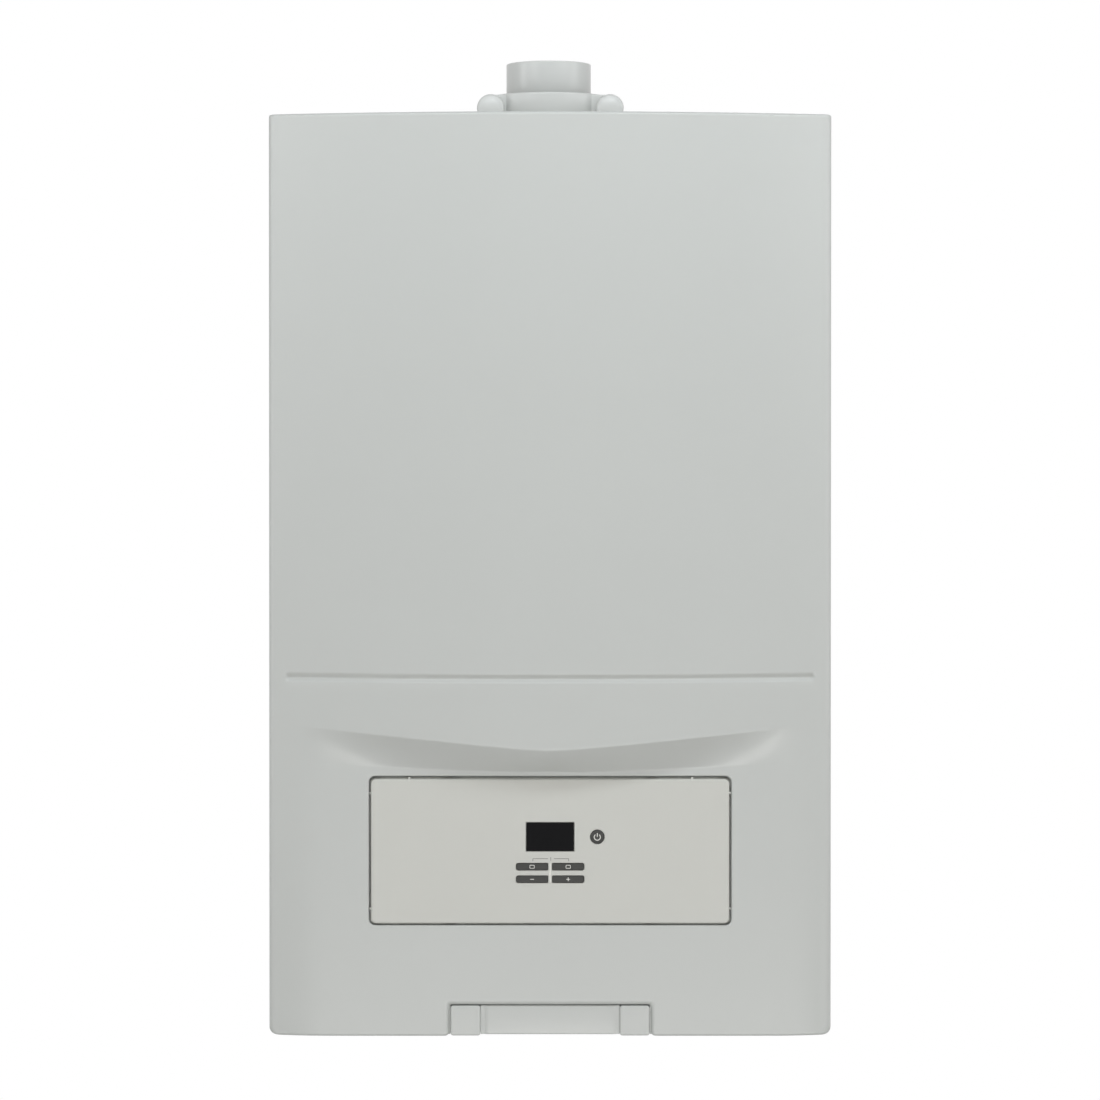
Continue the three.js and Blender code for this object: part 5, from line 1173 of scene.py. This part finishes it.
class BOILER_OT_stage(bpy.types.Operator):
    """Pale floor far below, white surroundings, soft lamps and the camera"""

    bl_idname = "boiler.stage"
    bl_label = "Studio"

    def execute(self, context):
        studio = context.scene.boiler_studio
        self.floor(studio)
        self.world()
        area_lamp("top_near", (0.1, -1.0, 0.95), (0, -0.3, 0.3), (1.6, 0.16), 7.2, (0.95, 1, 1.035))
        area_lamp("box_left", (-1.9, -2.3, 0.9), (0, -0.3, 0.1), (1.0, 1.3), 8.5)
        area_lamp("box_right", (1.9, -2.3, 0.9), (0, -0.3, 0.1), (1.0, 1.3), 7)
        area_lamp("side_left", (-2.4, -0.9, 0.4), (0, -0.2, 0.1), (0.9, 1.7), 12.5)
        area_lamp("side_right", (2.4, -0.9, 0.4), (0, -0.2, 0.1), (0.9, 1.7), 12)
        area_lamp("low_front", (0.25, -2.2, -1.0), (0.05, -0.3, -0.3), (1.8, 0.4), 15.5, (1.01, 1, 0.98))
        self.camera(studio)
        context.scene.view_settings.view_transform = "Standard"
        return {"FINISHED"}

    def floor(self, studio):
        """A round sheet whose rim curls up a little; its points are r (cos a, sin a), r growing by rings."""
        r = np.concatenate([[0], np.linspace(0.4, 3.4, 9)])[:, None]
        a = np.linspace(0, 2 * math.pi, 96, endpoint=False)[None]
        z = np.tile(-0.36 - studio.floor_drop + 0.02 * (r / 3.4) ** 4, (1, 96))
        points = np.stack([r * np.cos(a), r * np.sin(a) - 0.6, z], -1).reshape(-1, 3)
        mesh = bpy.data.meshes.new("studio_floor")
        faces = grid_faces(len(r), 96, close_columns=True)
        mesh.from_pydata(points.tolist(), [], faces.tolist())
        mesh.polygons.foreach_set("use_smooth", np.ones(len(mesh.polygons), bool))
        mesh.update()
        floor = bpy.data.objects.new("studio_floor", mesh)
        bpy.context.scene.collection.objects.link(floor)
        material, tree, shader, place = new_finish("matt_white_paper")
        _, tone = mottled(tree, place, 3.0, linear("F2F2F1"), linear("F8F8F7"))
        tree.links.new(tone, shader.inputs["Base Color"])
        shader.inputs["Roughness"].default_value = 0.9
        path = add_node(tree, "ShaderNodeLightPath").outputs["Is Camera Ray"]
        glow = add_node(tree, "ShaderNodeEmission", inputs={"Color": (1, 1, 1, 1), "Strength": 1.0})
        share = add_node(tree, "ShaderNodeMath", {"operation": "MULTIPLY"}, {0: path, 1: 0.93}).outputs[0]
        mix = add_node(
            tree, "ShaderNodeMixShader", inputs={0: share, 1: shader.outputs[0], 2: glow.outputs[0]}
        )
        output = next(n for n in tree.nodes if n.type == "OUTPUT_MATERIAL")
        tree.links.new(mix.outputs[0], output.inputs["Surface"])
        mesh.materials.append(material)

    def world(self):
        """White to the camera and in reflections; a softer white lights the object."""
        world = bpy.data.worlds.new("studio_white")
        bpy.context.scene.world = world
        world.use_nodes = True
        tree = world.node_tree
        tree.nodes.clear()
        path = add_node(tree, "ShaderNodeLightPath")
        seen = path.outputs["Is Camera Ray"]
        for kind in ("Is Glossy Ray", "Is Transmission Ray"):
            both = {0: seen, 1: path.outputs[kind]}
            seen = add_node(tree, "ShaderNodeMath", {"operation": "MAXIMUM"}, both).outputs[0]
        strength = add_node(tree, "ShaderNodeMapRange", inputs={"Value": seen, 3: 0.18, 4: 1.0}).outputs[0]
        back = add_node(tree, "ShaderNodeBackground", inputs={"Color": (1, 1, 1, 1), "Strength": strength})
        add_node(tree, "ShaderNodeOutputWorld", inputs={"Surface": back.outputs[0]})

    def camera(self, studio):
        data = bpy.data.cameras.new("camera")
        data.sensor_width = 36.0
        data.lens = 122.95
        data.shift_x = 0.0227
        data.shift_y = -0.0525
        data.clip_end = 50
        camera = bpy.data.objects.new("camera", data)
        bpy.context.scene.collection.objects.link(camera)
        camera.location = (-studio.aside, -studio.distance, studio.height)
        camera.rotation_euler = (math.radians(90 - 0.6), 0, 0)
        bpy.context.scene.camera = camera


# ------------------------------------------------------------------ add-on


OPERATORS = (
    BOILER_OT_front_cover,
    BOILER_OT_fascia,
    BOILER_OT_display,
    BOILER_OT_keys,
    BOILER_OT_power_button,
    BOILER_OT_latch,
    BOILER_OT_flue,
    BOILER_OT_fasteners,
    BOILER_OT_node_finishes,
    BOILER_OT_stage,
)


class BOILER_PT_looks(bpy.types.Panel):
    bl_label = "Boiler looks"
    bl_idname = "BOILER_PT_looks"
    bl_space_type = "VIEW_3D"
    bl_region_type = "UI"
    bl_category = "Boiler"

    def draw(self, context):
        for group in ("boiler_casing", "boiler_panel", "boiler_colours", "boiler_studio"):
            box = self.layout.box()
            settings = getattr(context.scene, group)
            for name in settings.bl_rna.properties.keys():
                if name not in ("rna_type", "name"):
                    box.prop(settings, name)
        for operator in OPERATORS:
            self.layout.operator(operator.bl_idname)


GROUPS = (
    ("boiler_casing", BoilerCasingSizes),
    ("boiler_panel", BoilerPanelSizes),
    ("boiler_colours", BoilerFinishColours),
    ("boiler_studio", BoilerStudio),
)


def register():
    for _, group in GROUPS:
        bpy.utils.register_class(group)
    for operator in OPERATORS:
        bpy.utils.register_class(operator)
    bpy.utils.register_class(BOILER_PT_looks)
    for name, group in GROUPS:
        setattr(bpy.types.Scene, name, PointerProperty(type=group))


def unregister():
    for name, _ in GROUPS:
        delattr(bpy.types.Scene, name)
    bpy.utils.unregister_class(BOILER_PT_looks)
    for operator in reversed(OPERATORS):
        bpy.utils.unregister_class(operator)
    for _, group in reversed(GROUPS):
        bpy.utils.unregister_class(group)


def main():
    register()
    bpy.ops.boiler.stage()
    bpy.ops.boiler.front_cover()
    bpy.ops.boiler.fascia()
    bpy.ops.boiler.display()
    bpy.ops.boiler.keys()
    bpy.ops.boiler.power_button()
    bpy.ops.boiler.latch()
    bpy.ops.boiler.flue()
    bpy.ops.boiler.fasteners()
    bpy.ops.boiler.node_finishes()


if __name__ == "__main__":
    main()
